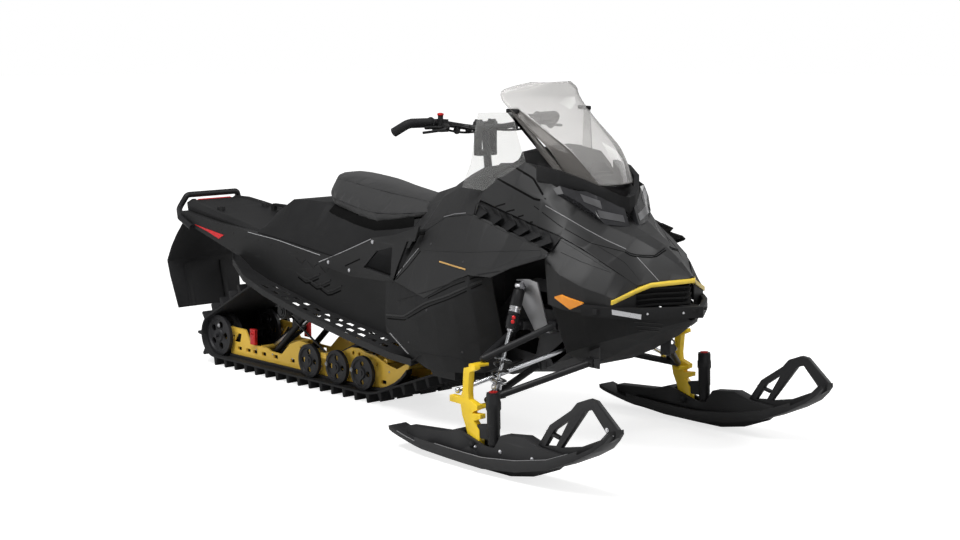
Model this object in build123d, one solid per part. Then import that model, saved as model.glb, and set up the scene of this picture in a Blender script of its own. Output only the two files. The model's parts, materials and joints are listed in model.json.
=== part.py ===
from build123d import *
import math
import os

# Snowmobile: two steered skis in front, one track under a tunnel behind.
# Millimetres. +X forward, +Y to the rider's left, +Z up. The origin is on the snow,
# in the middle of the overall length.

# ---- driving dimensions ----
ski_stance = 1080.0
ski_y = ski_stance / 2
ski_width = 138.0
ski_sole_thickness = 14.0
ski_flange_thickness = 9.0
ski_rib_width = 48.0
ski_keel_width = 22.0
ski_handle_width = 20.0

spindle_width = 24.0
spindle_pin_at = (903.0, 80.0)
spindle_pin_radius = 7.0
adjuster_x = 986.0
adjuster_radius = 17.0
adjuster_base_z = 84.0
adjuster_cap_z = 232.0
adjuster_cap_height = 36.0

arm_tube_radius = 12.0
arm_eye_half = 18.0
ball_radius = 12.0
ball_inset = 52.0
frame_half_width = 184.0
frame_plate = 5.0
fit_gap = 1.0
upper_ball = (874.0, ski_y - ball_inset, 362.0)
lower_ball = (896.0, ski_y - ball_inset, 222.0)
upper_pivots = ((981.0, frame_half_width + 66, 465.0), (807.0, frame_half_width + 66, 443.0))
lower_pivots = ((1107.0, frame_half_width + 18, 344.0), (850.0, frame_half_width + 18, 300.0))
shock_top = (880.0, 318.0, 600.0)
shock_bottom = (896.0, ski_y - 94, 260.0)
shock_body_radius = 21.0
shock_shaft_radius = 7.0
spring_radius = 27.0
spring_turns = 6

rod_eye_outer = (785.0, ski_y - 16, 243.0)
rod_eye_inner = (973.0, 115.0, 382.0)
tie_rod_radius = 8.0
drag_link_height = 16.0
rod_slot_length = 122.0
rod_slot_width = 44.0

track_width = 381.0
track_side_room = 24.5
tunnel_half_width = track_width / 2 + track_side_room
tunnel_sheet = 3.0
board_sheet = 3.0
board_lip = 26.0

belt_thickness = 8.0
lug_height = 35.0
lug_rows = 48
lug_root = 24.0
lug_tip = 11.0
idler_radius = 89.0
idler_x = -1202.0
upper_wheel_radius = 80.0
upper_wheel_at = (-690.0, 410.0)


def trimmed(piece, *cutters):
    """A piece cut back to where others begin, without the offcuts."""
    solids = [cutter_solid for cutter in cutters for cutter_solid in cutter.solids()]
    kept = []
    for solid in piece.solids():
        rest = solid.cut(*solids)
        kept.append(max(rest.solids(), key=lambda part: part.volume))
    return group(kept)


def make_rails():
    """Both slide rails with the tubes that join them and the seats of the springs' legs."""
    pieces = [make_rail(1)]
    for x, z in ((-935, 104), (-330, 150), (-95, 166), (rail_tip_x - 25, 160)):
        pieces.append(cross_shaft(x, z, 12, rail_y - rail_web / 2))
    for sign in (-1, 1):
        near, far = rail_y + rail_web / 2, spring_leg_y + 8
        pieces.append(side_cut([(-470, 132), (-434, 132), (-434, spring_leg_z - 6),
                                (-470, spring_leg_z - 6)],
                               min(sign * near, sign * far), max(sign * near, sign * far)))
    return make_rail(-1).fuse(*pieces)
sprocket_radius = 90.0
sprocket_at = (266.0, 274.0)
rail_nose_radius = 300.0
rail_nose_x = -165.0
rail_y = 130.0
rail_web = 9.0
rail_tip_x = 60.0
shoe_height = 12.0
shoe_width = 30.0
rail_wheel_radius = 69.0
rail_wheel_xs = (-539.0, -355.0, -190.0)
rail_wheel_y = rail_y + 35
wheel_width = 22.0
axle_radius = 10.0

panel_thickness = 4.0
marker_thickness = 5.0
bumper_tube_radius = 13.0
screen_thickness = 3.0

grip_radius = 17.0
bar_radius = 11.0
post_radius = 15.0
steer_base = (368.0, 963.0)
steer_top = (351.0, 1105.0)

seat_gap = 1.0

belt_bottom_z = lug_height + belt_thickness
idler_z = belt_bottom_z + idler_radius
rail_bottom_z = belt_bottom_z + shoe_height
SIDES = (("right", -1), ("left", 1))


# ---- shared shapes ----
def face_of(points):
    """Flat face inside a closed line of points."""
    return make_face(Polyline(*points, close=True))


def side_cut(outline, y_from, y_to):
    """Piece cut to an (x, z) outline, from one Y to another."""
    face = face_of([(x, y_from, z) for x, z in outline])
    return extrude(face, amount=y_to - y_from, dir=(0, 1, 0))


def plan_cut(outline, z_from, z_to):
    """Piece cut to an (x, y) outline, from one Z to another."""
    face = face_of([(x, y, z_from) for x, y in outline])
    return extrude(face, amount=z_to - z_from, dir=(0, 0, 1))


def front_cut(outline, x_from, x_to):
    """Piece cut to a (y, z) outline, from one X to another."""
    face = face_of([(x_from, y, z) for y, z in outline])
    return extrude(face, amount=x_to - x_from, dir=(1, 0, 0))


def rod(start, end, radius, bore=0.0):
    """Round bar or tube between two points."""
    axis = Vector(*end) - Vector(*start)
    place = Plane(origin=start, z_dir=axis)
    bar = extrude(place * Circle(radius), amount=axis.length)
    if bore:
        bar -= extrude(place * Circle(bore), amount=axis.length)
    return bar


def bent_tube(points, radius, bend):
    """Round tube along straight runs joined by arcs."""
    path = FilletPolyline(*points, radius=bend)
    section = Plane(origin=path @ 0, z_dir=path % 0) * Circle(radius)
    return sweep(section, path=path)


def ball(centre, radius):
    return Pos(*centre) * Sphere(radius)


def cross_shaft(x, z, radius, half_length):
    return rod((x, -half_length, z), (x, half_length, z), radius)


def side_shift(line, distance):
    """An open (u, v) line moved sideways, square to each of its runs."""
    normals = []
    for (u1, v1), (u2, v2) in zip(line, line[1:]):
        length = math.hypot(u2 - u1, v2 - v1)
        normals.append(((v2 - v1) / length, -(u2 - u1) / length))
    moved = []
    for index, (u, v) in enumerate(line):
        first = normals[max(index - 1, 0)]
        second = normals[min(index, len(normals) - 1)]
        nu, nv = first[0] + second[0], first[1] + second[1]
        size = math.hypot(nu, nv)
        nu, nv = nu / size, nv / size
        reach = distance / max(nu * first[0] + nv * first[1], 0.6)
        moved.append((u + nu * reach, v + nv * reach))
    return moved


def skin(stations, thickness):
    """Sheet through (x, line) stations, each line being (y, z) points; the sheet lies to its right."""
    sections = []
    for x, line in stations:
        back = side_shift(line, thickness)
        sections.append(face_of([(x, y, z) for y, z in line + back[::-1]]))
    return loft(sections, ruled=True)


def body_between(stations):
    """Solid through (x, outline) stations, each outline being closed (y, z) points."""
    return loft([face_of([(x, y, z) for y, z in line]) for x, line in stations], ruled=True)


def mirrored(half_line):
    """A (y, z) line that starts at the middle, carried on to the other side."""
    return [(-y, z) for y, z in half_line[::-1] if abs(y) > 0.01] + half_line


def turned(outline, centre, angle):
    """A (u, v) outline about (0, 0), turned by an angle and put at a centre."""
    c, s = math.cos(angle), math.sin(angle)
    return [(centre[0] + u * c - v * s, centre[1] + u * s + v * c) for u, v in outline]


def on_side(piece, sign):
    """A piece modelled on the right, or its mirror image on the left."""
    return piece if sign < 0 else mirror(piece, about=Plane.XZ)


# ---- track ----
def track_circles():
    """(x, z, radius) of the rounds that the belt's inner face wraps, from the rear, along the snow."""
    nose = (rail_nose_x, belt_bottom_z + rail_nose_radius, rail_nose_radius)
    return [
        (idler_x, idler_z, idler_radius),
        nose,
        (*sprocket_at, sprocket_radius),
        (*upper_wheel_at, upper_wheel_radius),
    ]


def track_runs(circles):
    """Outward angle of each straight run between one round and the next."""
    angles = []
    for here, there in zip(circles, circles[1:] + circles[:1]):
        along = math.atan2(there[1] - here[1], there[0] - here[0])
        apart = math.hypot(there[0] - here[0], there[1] - here[1])
        angles.append(along - math.acos((here[2] - there[2]) / apart))
    return angles


def around(circle, offset, angle):
    radius = circle[2] + offset
    return (circle[0] + radius * math.cos(angle), circle[1] + radius * math.sin(angle))


def loop_steps(offset):
    """Runs and wraps of the loop: ("run", start, end) and ("wrap", circle, from angle, to angle)."""
    circles = track_circles()
    angles = track_runs(circles)
    steps = []
    for index, circle in enumerate(circles):
        after = (index + 1) % len(circles)
        steps.append(("run", around(circle, offset, angles[index]),
                      around(circles[after], offset, angles[index]), angles[index]))
        sweep_by = (angles[after] - angles[index]) % (2 * math.pi)
        steps.append(("wrap", circles[after], angles[index], angles[index] + sweep_by))
    return steps


def loop_face(offset):
    edges = []
    for step in loop_steps(offset):
        if step[0] == "run":
            (x1, z1), (x2, z2) = step[1], step[2]
            edges.append(Line((x1, 0, z1), (x2, 0, z2)))
        else:
            spots = [around(step[1], offset, a) for a in (step[2], (step[2] + step[3]) / 2, step[3])]
            edges.append(ThreePointArc(*[(x, 0, z) for x, z in spots]))
    return make_face(edges)


def loop_spots(count, offset):
    """Evenly spaced (x, z, outward angle) along the loop."""
    pieces = []
    for step in loop_steps(offset):
        if step[0] == "run":
            pieces.append(math.dist(step[1], step[2]))
        else:
            pieces.append((step[1][2] + offset) * (step[3] - step[2]))
    spots = []
    for number in range(count):
        left = sum(pieces) * number / count
        for step, size in zip(loop_steps(offset), pieces):
            if left <= size:
                break
            left -= size
        share = left / size
        if step[0] == "run":
            x = step[1][0] + (step[2][0] - step[1][0]) * share
            z = step[1][1] + (step[2][1] - step[1][1]) * share
            spots.append((x, z, step[3]))
        else:
            angle = step[2] + (step[3] - step[2]) * share
            spots.append((*around(step[1], offset, angle), angle))
    return spots


def make_track():
    belt = loop_face(belt_thickness) - loop_face(0)
    track = extrude(Pos(0, -track_width / 2, 0) * belt, amount=track_width, dir=(0, 1, 0))
    edge = track_width / 2 - 6
    lanes = (((-edge, -62), (-34, 34), (62, edge)), ((-edge, -118), (-98, -24), (24, 98), (118, edge)))
    sunk = belt_thickness / 2
    tooth = [(-sunk, -lug_root / 2), (lug_height, -lug_tip / 2), (lug_height, lug_tip / 2),
             (-sunk, lug_root / 2)]
    lugs = []
    for number, (x, z, angle) in enumerate(loop_spots(lug_rows, belt_thickness)):
        for y_from, y_to in lanes[number % 2]:
            lugs.append(side_cut(turned(tooth, (x, z), angle), y_from, y_to))
    return track.fuse(*lugs)


def wheel(x, y, z, radius, width, spoke_holes=5):
    """Moulded wheel with a thick rim, a thinner web and a hub."""
    half = width / 2
    profile = [(axle_radius, -half), (radius * 0.3, -half), (radius * 0.34, -half * 0.4),
               (radius * 0.74, -half * 0.4), (radius * 0.8, -half), (radius, -half * 0.7),
               (radius, half * 0.7), (radius * 0.8, half), (radius * 0.74, half * 0.4),
               (radius * 0.34, half * 0.4), (radius * 0.3, half), (axle_radius, half)]
    section = face_of([(r, w, 0) for r, w in profile])
    disc = revolve(section, axis=Axis.Y)
    for number in range(spoke_holes):
        turn = 2 * math.pi * number / spoke_holes
        hole = cross_shaft(radius * 0.54 * math.cos(turn), radius * 0.54 * math.sin(turn), radius * 0.17,
                           width)
        disc -= hole
    return Pos(x, y, z) * disc


def make_rear_axle():
    half = rail_y + 2 * wheel_width
    axle = cross_shaft(idler_x, idler_z, axle_radius, half + wheel_width / 2)
    pieces = []
    for sign in (-1, 1):
        for offset in (-1, 1):
            y = sign * (rail_y + offset * (rail_web / 2 + 12 + wheel_width / 2))
            pieces.append(wheel(idler_x, y, idler_z, idler_radius, wheel_width))
        pieces.append(rod((idler_x, sign * (rail_y - rail_web / 2 - 12), idler_z),
                          (idler_x, sign * (rail_y - rail_web / 2), idler_z), 2 * axle_radius))
        pieces.append(rod((idler_x, sign * (rail_y + rail_web / 2), idler_z),
                          (idler_x, sign * (rail_y + rail_web / 2 + 12), idler_z), 2 * axle_radius))
    return axle.fuse(*pieces)


def make_upper_wheels():
    x, z = upper_wheel_at
    shaft = cross_shaft(x, z, axle_radius, tunnel_half_width - tunnel_sheet)
    return shaft.fuse(*[wheel(x, y, z, upper_wheel_radius, wheel_width) for y in (-105, 105)])


def make_rail_wheels():
    pieces = []
    wheel_z = belt_bottom_z + rail_wheel_radius
    for x in rail_wheel_xs:
        for sign in (-1, 1):
            disc = wheel(x, sign * rail_wheel_y, wheel_z, rail_wheel_radius, wheel_width, spoke_holes=4)
            stub = rod((x, sign * (rail_y + rail_web / 2), wheel_z),
                       (x, sign * (rail_wheel_y + wheel_width / 2 + 3), wheel_z), axle_radius)
            pieces.append(disc + stub)
    return pieces


def make_drive_axle():
    x, z = sprocket_at
    shaft = cross_shaft(x, z, 16, tunnel_half_width - tunnel_sheet)
    teeth = 8
    discs = []
    for y in (-100, 100):
        outline = []
        for number in range(teeth):
            for share, radius in ((0.0, 0.78), (0.36, 0.78), (0.5, 0.97), (0.72, 0.97)):
                angle = 2 * math.pi * (number + share) / teeth
                outline.append((x + sprocket_radius * radius * math.cos(angle),
                                z + sprocket_radius * radius * math.sin(angle)))
        discs.append(side_cut(outline, y - 12, y + 12))
    return shaft.fuse(*discs)


# ---- slide rails ----
def nose_arc(radius, x_end, count):
    """Points on the rails' raised nose, from its start to an X."""
    centre_z = belt_bottom_z + rail_nose_radius
    last = math.asin((x_end - rail_nose_x) / radius)
    spots = []
    for number in range(count + 1):
        angle = last * number / count
        spots.append((rail_nose_x + radius * math.sin(angle), centre_z - radius * math.cos(angle)))
    return spots


def make_rail(sign):
    # x, z of the top edge from the nose back to the tail
    top = [(rail_tip_x, 172), (rail_tip_x - 12, 180), (-14, 148), (-76, 159), (-145, 183), (-193, 186),
           (-252, 199),
           (-300, 196), (-372, 167), (-470, 138), (-572, 169), (-652, 176), (-720, 152), (-777, 101), (-854,
                   103),
           (-880, 113), (-999, 113), (-1017, 134), (-1042, 172), (-1150, 174), (-1168, 160)]
    bottom = nose_arc(rail_nose_radius - shoe_height, rail_tip_x - 4, 5)
    outline = [(-1150, rail_bottom_z)] + bottom + top
    rail = side_cut(outline, sign * rail_y - rail_web / 2, sign * rail_y + rail_web / 2)
    cuts = [cross_shaft(idler_x + 72, idler_z, 9, 300)]
    for x in (-1085, -1020, -970, -905, -820, -700, -640, -445, -275, -95):
        slot = [(x - 15, 76), (x + 15, 76), (x + 15, 92), (x - 15, 92)]
        cuts.append(side_cut(slot, -200, 200))
    for x, z in ((-640, 145), (-610, 142), (-290, 175), (-250, 175), (-215, 160), (-140, 150)):
        cuts.append(cross_shaft(x, z, 8, 300))
    cuts.append(side_cut([(-1130, 110), (-1080, 110), (-1070, 150), (-1095, 150)], -200, 200))
    rail = rail.cut(*cuts)
    tail = side_cut([(idler_x - 26, idler_z - 20), (-1150, idler_z - 34), (-1140, idler_z + 34),
                     (idler_x - 26, idler_z + 20)],
                    sign * rail_y - rail_web / 2, sign * rail_y + rail_web / 2)
    rail += tail
    return rail - cross_shaft(idler_x, idler_z, axle_radius, 300)


def make_shoe(sign):
    lower = nose_arc(rail_nose_radius, rail_tip_x - 4, 5)
    upper = nose_arc(rail_nose_radius - shoe_height, rail_tip_x - 4, 5)
    outline = [(-1145, belt_bottom_z)] + lower + upper[::-1] + [(-1145, rail_bottom_z)]
    return side_cut(outline, sign * rail_y - shoe_width / 2, sign * rail_y + shoe_width / 2)


# ---- rear suspension ----
inner_y = rail_y - rail_web / 2
tunnel_inner = tunnel_half_width - tunnel_sheet


def swing_arm(top, bottom):
    """Two side tubes between a shaft across the tunnel and a tube across the rails."""
    pieces = [cross_shaft(*top, 12, tunnel_inner)]
    for sign in (-1, 1):
        y = sign * (inner_y - 26)
        pieces.append(rod((top[0], y, top[1]), (bottom[0], y, bottom[1]), 13))
    return cross_shaft(*bottom, 12, inner_y).fuse(*pieces)


def damper(start, end, body_share, body_radius, shaft_radius):
    """Damper with a body at its start and a shaft at its end, with an eye at each."""
    a, b = Vector(*start), Vector(*end)
    middle = a + (b - a) * body_share
    body = rod(start, tuple(middle), body_radius)
    shaft = rod(tuple(middle), end, shaft_radius)
    return body.fuse(shaft, ball(start, body_radius * 0.8), ball(end, body_radius * 0.7))


front_arm_top, front_arm_bottom = (-40.0, 318.0), (-400.0, 152.0)
rear_arm_top, rear_arm_bottom = (-520.0, 392.0), (-868.0, 92.0)

spring_coil = (-719.0, 296.0)

spring_leg_y, spring_leg_z = 152.0, 161.0


def arm_spot(top, bottom, x):
    """(x, z) on the line of a swing arm."""
    share = (x - top[0]) / (bottom[0] - top[0])
    return (x, top[1] + (bottom[1] - top[1]) * share)


def make_swing_arms():
    """Front and rear arms, with tubes across for the dampers and a carrier for the coils."""
    half = rail_y - rail_web / 2 - 26
    front = swing_arm(front_arm_top, front_arm_bottom)
    front += cross_shaft(*arm_spot(front_arm_top, front_arm_bottom, -140), 10, half)
    carrier = [cross_shaft(*arm_spot(rear_arm_top, rear_arm_bottom, -640), 10, half),
               cross_shaft(*spring_coil, 12, 180)]
    for sign in (-1, 1):
        x, z = spring_coil
        y = sign * half
        carrier.append(side_cut([(x - 16, z + 8), (x + 12, z + 14), (x + 60, z - 10), (x + 8, z - 64),
                                 (x - 20, z - 80)],
                                y - 5, y + 5))
        carrier.append(rod((x, sign * 128, z), (x, sign * 176, z), 22))
    return [front, swing_arm(rear_arm_top, rear_arm_bottom).fuse(*carrier)]


def make_torsion_springs():
    """Two coils on the rear arm's carrier, each with a leg that rests on the rail's seat."""
    pieces = []
    coil_x, coil_z = spring_coil
    for sign in (-1, 1):
        coil = rod((coil_x, sign * 128, coil_z), (coil_x, sign * 176, coil_z), 34, 22)
        leg = rod((coil_x + 20, sign * spring_leg_y, coil_z - 24), (-452, sign * spring_leg_y,
                                                                    spring_leg_z), 6)
        pieces.append(coil + leg)
    return pieces


def make_rear_shocks():
    front_eye = arm_spot(front_arm_top, front_arm_bottom, -140)
    rear_eye = arm_spot(rear_arm_top, rear_arm_bottom, -640)
    rear = damper((-935, -40, 104), (rear_eye[0], -40, rear_eye[1]), 0.6, 24, 8)
    centre = damper((front_eye[0], 0, front_eye[1]), (-330, 0, 150), 0.6, 20, 7)
    return group([rear, centre])


# ---- tunnel, boards, rear ----
# x, z of the tunnel's top edge, from the front back
tunnel_top = [(420, 498), (56, 531), (-108, 551), (-341, 572), (-621, 602), (-818, 619), (-1117, 640),
              (-1400, 668)]
# x, z of the tunnel's lower edge, from the rear forward
tunnel_low = [(-1400, 636), (-1339, 612), (-971, 512), (-824, 440), (-333, 341), (7, 299), (215, 262),
              (300, 180), (420, 180)]


def top_z(x):
    """Height of the tunnel's top at an X."""
    for (x1, z1), (x2, z2) in zip(tunnel_top, tunnel_top[1:]):
        if x2 <= x <= x1:
            return z1 + (z2 - z1) * (x1 - x) / (x1 - x2)
    return tunnel_top[0][1]


def make_tunnel():
    outline = tunnel_top + tunnel_low
    shell = side_cut(outline, -tunnel_half_width, tunnel_half_width)
    hollow = [(x + (1 if x > 0 else 0), z - tunnel_sheet) for x, z in tunnel_top]
    hollow = [(430, hollow[0][1])] + hollow[1:-1] + [(-1410, hollow[-1][1]), (-1410, 100), (430, 100)]
    shell -= side_cut(hollow, -tunnel_inner, tunnel_inner)
    cuts = []
    for x in (-520, -440, -360):
        z = top_z(x) - 62
        rib = [(x - 40, z + 14), (x + 2, z - 12), (x + 40, z + 14), (x + 30, z + 14), (x + 2, z - 4),
               (x - 30, z + 14)]
        cuts.append(side_cut(rib, -tunnel_half_width - 1, -tunnel_half_width + 1.5))
        cuts.append(side_cut(rib, tunnel_half_width - 1.5, tunnel_half_width + 1))
    return shell.cut(*cuts)


# x, inner z, outer y, outer z of a running board, from the front back
board_table = [
    (330, 262, 352, 240),
    (213, 268, 360, 250),
    (0, 302, 365, 284),
    (-332, 345, 365, 340),
    (-587, 396, 362, 398),
    (-739, 426, 352, 440),
    (-860, 460, 318, 494),
    (-957, 512, 250, 520),
]


def make_board(sign):
    stations = []
    for x, z_in, y_out, z_out in board_table:
        line = [(-y_out, z_out + board_lip), (-y_out, z_out), (2 - tunnel_half_width, z_in)]
        stations.append((x, line))
    sheet = skin(stations, -board_sheet)
    holes = []
    for row, y in enumerate((248, 288, 328)):
        for number in range(12):
            x = 120 - 70 * number - 20 * (row % 2)
            if x < -690:
                continue
            holes.append(plan_cut([(x - 24, -y - 10), (x + 24, -y - 10), (x + 16, -y + 10),
                                   (x - 16, -y + 10)],
                                  200, 600))
    return on_side(sheet.cut(*holes), sign)


def tunnel_block():
    """The room the tunnel takes, as a solid, for shaping what stands on it."""
    return side_cut(tunnel_top + tunnel_low, -tunnel_half_width, tunnel_half_width)

# x, inset of the base from the tunnel's side, inset of the top, height of the underside, height of the top
deck_table = [
    (-856, 25, 37, 600, 627),
    (-1000, 25, 42, 610, 651),
    (-1155, 25, 46, 620, 673),
    (-1300, 29, 55, 640, 694),
    (-1400, 38, 64, 655, 707),
    (-1452, 66, 92, 690, 711),
]

anchor_hole_x, anchor_hole_y, anchor_hole_z = -1230.0, 118.0, 694.0


def make_deck():
    """Rear deck on the tunnel, with raised rims, two threaded anchor posts and a tie-down loop."""
    stations = []
    for x, base_in, top_in, low, z in deck_table:
        base, top = tunnel_half_width - base_in, tunnel_half_width - top_in
        stations.append((x, [(-base, low), (-base, z - 14), (-top, z), (-top + 18, z), (-top + 26, z - 6),
                             (top - 26, z - 6),
                             (top - 18, z), (top, z), (base, z - 14), (base, low)]))
    deck = body_between(stations) - tunnel_block()
    pieces = []
    for y in (-anchor_hole_y, anchor_hole_y):
        pieces.append(rod((anchor_hole_x, y, 670), (anchor_hole_x, y, anchor_hole_z), 17))
    loop = side_cut([(-1152, 660), (-1150, 690), (-1136, 700), (-1058, 700), (-1044, 690), (-1040, 650)],
                    92, 108)
    loop -= side_cut([(-1130, 668), (-1126, 688), (-1068, 688), (-1062, 668)], 80, 120)
    deck = deck.fuse(loop, *pieces)
    holes = [rod((anchor_hole_x, y, anchor_hole_z - 22), (anchor_hole_x, y, anchor_hole_z + 9), 4.2)
             for y in (-anchor_hole_y, anchor_hole_y)]
    return deck.cut(*holes)


def make_tail_lamp():
    return front_cut([(-96, 693), (-86, 708), (86, 708), (96, 693)], -1462, -1452)


def make_rear_bumper():
    side = tunnel_half_width + bumper_tube_radius + 1
    path = [(-1296, -side, 604), (-1392, 4 - side, 640), (-1494, -164, 668), (-1474, -134, 728)]
    full = path + [(x, -y, z) for x, y, z in path[::-1]]
    loop = bent_tube(full, bumper_tube_radius, 20)
    pads = []
    for sign in (-1, 1):
        for x, z in ((-1306, 608), (-1372, 632)):
            pads.append(rod((x, sign * tunnel_half_width, z), (x, sign * side, z), 12))
    return loop.fuse(*pads)


def make_snow_flap():
    # x, z of the rear face, from the top down
    line = [(-1384, 662), (-1400, 652), (-1448, 590), (-1520, 500), (-1560, 432), (-1550, 360), (-1512, 216)]
    back = side_shift(line, -7)
    flap = side_cut(line + back[::-1], -195, 195)
    trim = front_cut([(-178, 700), (-195, 560), (-192, 420), (-168, 200), (168, 200), (192, 420), (195, 560),
                      (178, 700)], -1700, -1300)
    ribs = []
    for y in (-95, 95):
        ribs.append(side_cut([(-1560, 410), (-1568, 350), (-1524, 222), (-1500, 222), (-1536, 352),
                              (-1544, 410)], y - 12,
                             y + 12))
    return (flap & trim).fuse(*ribs)

# x, half width and z of the seat's lower edge, of its widest line and of its top edge
seat_table = [
    (-488, 76, 802, 86, 832, 60, 856),
    (-457, 98, 758, 122, 812, 74, 897),
    (-397, 118, 752, 142, 806, 92, 892),
    (-225, 146, 728, 162, 782, 98, 875),
    (-108, 158, 716, 166, 760, 88, 855),
    (29, 150, 738, 156, 770, 68, 842),
    (110, 134, 752, 138, 780, 58, 830),
    (190, 104, 770, 108, 788, 48, 812),
]


# ---- seat ----
def make_seat():
    stations = []
    for x, w_low, z_low, w_mid, z_mid, w_top, z_top in seat_table:
        stations.append((x, [(-w_low, z_low), (-w_mid, z_mid), (-w_top, z_top - 10), (-w_top * 0.5, z_top),
                             (w_top * 0.5, z_top), (w_top, z_top - 10), (w_mid, z_mid), (w_low, z_low)]))
    return body_between(stations)


# x, half width at the top, z of the top of the seat's base
base_table = [(-832, 120, 668), (-790, 138, 704), (-700, 148, 748), (-655, 148, 772), (-584, 118, 772),
              (-488, 104, 768), (-457, 98, 758), (-397, 116, 752), (-225, 144, 728), (-108, 156, 716), (29,
                      148, 738),
              (110, 132, 752), (190, 102, 770)]


def make_seat_base():
    """Moulded base and storage pad between the seat and the tunnel."""
    stations = []
    for x, top, z in base_table:
        low = top_z(x)
        side = tunnel_half_width - 8
        step = low + (z - low) * 0.35
        stations.append((x, [(-side, low - 20), (-side, low + 4), (-side + 12, step), (-top, z - seat_gap),
                             (top, z - seat_gap), (side - 12, step), (side, low + 4), (side, low - 20)]))
    return body_between(stations) - tunnel_block()


def brace_y(x):
    """How far out the side brace's inner face lies at an X."""
    return brace_start[1] + (x - brace_start[0]) * brace_lean

brace_start, brace_lean, brace_thickness = (-400.0, 222.0), 0.16, 10.0


def make_side_brace(sign):
    """Bar with a window between the tunnel's side and the body's side panel."""
    outer = [(-389, 538), (50, 688), (208, 714), (345, 752), (384, 764), (356, 706), (300, 700), (232, 600),
             (196, 535),
             (-117, 519)]
    window = [(-20, 566), (80, 640), (196, 668), (182, 552)]
    shapes = []
    for points in (outer, window):
        faces = []
        for depth in (0, brace_thickness):
            faces.append(face_of([(x, -brace_y(x) - depth, z) for x, z in points]))
        shapes.append(loft(faces, ruled=True))
    brace = shapes[0] - shapes[1]
    for x, z in ((-299, 554), (-131, 540)):
        brace += rod((x, -tunnel_half_width, z), (x, -brace_y(x) - 1, z), 12)
    brace += rod((356, -290, 738), (356, -brace_y(356) - 1, 738), 12)
    return on_side(brace, sign)


# ---- body panels (right side, y negative) ----
# x, then y, z of the upper edge, of the crease and of the lower edge
side_panel_table = [
    (262, (-345, 584), (-356, 570), (-372, 553)),
    (356, (-300, 766), (-331, 680), (-383, 532)),
    (449, (-290, 797), (-346, 668), (-390, 512)),
    (617, (-298, 821), (-368, 657), (-394, 595)),
    (690, (-295, 806), (-380, 653), (-394, 622)),
    (800, (-293, 776), (-384, 650), (-388, 624)),
    (900, (-308, 763), (-374, 690), (-378, 668)),
    (1040, (-342, 732), (-350, 724), (-352, 714)),
]


def make_side_panel(sign):
    stations = [(x, [low, crease, up]) for x, up, crease, low in side_panel_table]
    return on_side(skin(stations, panel_thickness), sign)


# x, then y, z of the top, the shelf, the knee and the bottom of the side pod
side_pod_table = [
    (205, (-366, 548), (-370, 420), (-368, 372), (-362, 350), (-336, 352)),
    (300, (-374, 556), (-380, 416), (-360, 322), (-345, 280), (-320, 284)),
    (400, (-384, 532), (-391, 428), (-352, 300), (-332, 236), (-tunnel_half_width, 240)),
    (500, (-388, 548), (-398, 474), (-358, 316), (-330, 238), (-frame_half_width, 242)),
    (600, (-390, 598), (-398, 524), (-356, 350), (-322, 250), (-frame_half_width, 254)),
    (690, (-390, 632), (-392, 572), (-340, 385), (-312, 262), (-frame_half_width, 266)),
    (752, (-340, 640), (-326, 560), (-290, 420), (-262, 300), (-frame_half_width, 300)),
]


def make_side_pod(sign):
    """Side pod, with the toe wall that closes it in front of the rider's boot."""
    stations = [(x, [under, bottom, knee, shelf, top]) for x, top, shelf, knee, bottom,
                under in side_pod_table]
    pod = skin(stations, panel_thickness)
    line = [(322, 256), (400, 300), (452, 420), (462, 500)]
    back = side_shift(line, 3)
    wall = side_cut(line + back[::-1], -350, -tunnel_half_width)
    return on_side(pod + trimmed(wall, pod), sign)


# x, then y, z of the middle, the ridge, the shoulder and the side's foot of the hood
hood_table = [
    (617, (0, 966), (-168, 998), (-232, 952), (-272, 874)),
    (760, (0, 972), (-174, 1008), (-232, 928), (-268, 838)),
    (900, (0, 936), (-178, 958), (-236, 892), (-262, 803)),
    (1000, (0, 886), (-150, 886), (-208, 826), (-250, 776)),
    (1090, (0, 812), (-104, 806), (-158, 768), (-228, 738)),
    (1180, (0, 778), (-64, 772), (-110, 732), (-204, 690)),
    (1262, (0, 746), (-46, 736), (-92, 680), (-142, 622)),
    (1330, (0, 702), (-24, 694), (-44, 662), (-62, 639)),
    (1384, (0, 653), (-6, 652), (-9, 650), (-12, 648)),
]


def make_hood():
    stations = []
    for x, middle, ridge, shoulder, foot in hood_table:
        stations.append((x, mirrored([middle, ridge, shoulder, foot])[::-1]))
    return skin(stations, panel_thickness)


# x, then y, z of the top, the widest line and the foot of the nose's side
nose_side_table = [
    (1000, (-252, 770), (-320, 700), (-304, 545)),
    (1060, (-234, 744), (-312, 655), (-294, 532)),
    (1140, (-214, 706), (-284, 618), (-262, 525)),
    (1210, (-190, 664), (-240, 592), (-232, 520)),
    (1238, (-165, 641), (-228, 578), (-224, 518)),
    (1264, (-140, 616), (-150, 602), (-150, 518)),
]


def make_nose_side(sign):
    stations = [(x, [foot, wide, (top[0], top[1] + 3)]) for x, top, wide, foot in nose_side_table]
    return on_side(skin(stations, panel_thickness), sign)

# x, share of the nose side's lower facet at the marker's lower and upper edge
marker_table = [(1036, 0.25, 0.29), (1065, 0.19, 0.45), (1090, 0.06, 0.43), (1140, 0.38, 0.42)]


def nose_side_spot(x, share):
    """(y, z) on the nose's side, at a share of the way from its foot to its widest line."""
    for (x1, top1, wide1, foot1), (x2, top2, wide2, foot2) in zip(nose_side_table, nose_side_table[1:]):
        if x1 <= x <= x2:
            along = (x - x1) / (x2 - x1)
            foot = [a + (b - a) * along for a, b in zip(foot1, foot2)]
            wide = [a + (b - a) * along for a, b in zip(wide1, wide2)]
            return tuple(a + (b - a) * share for a, b in zip(foot, wide))


def make_side_marker(sign):
    stations = [(x, [nose_side_spot(x, low), nose_side_spot(x, high)]) for x, low, high in marker_table]
    return on_side(skin(stations, -marker_thickness), sign)


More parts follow.
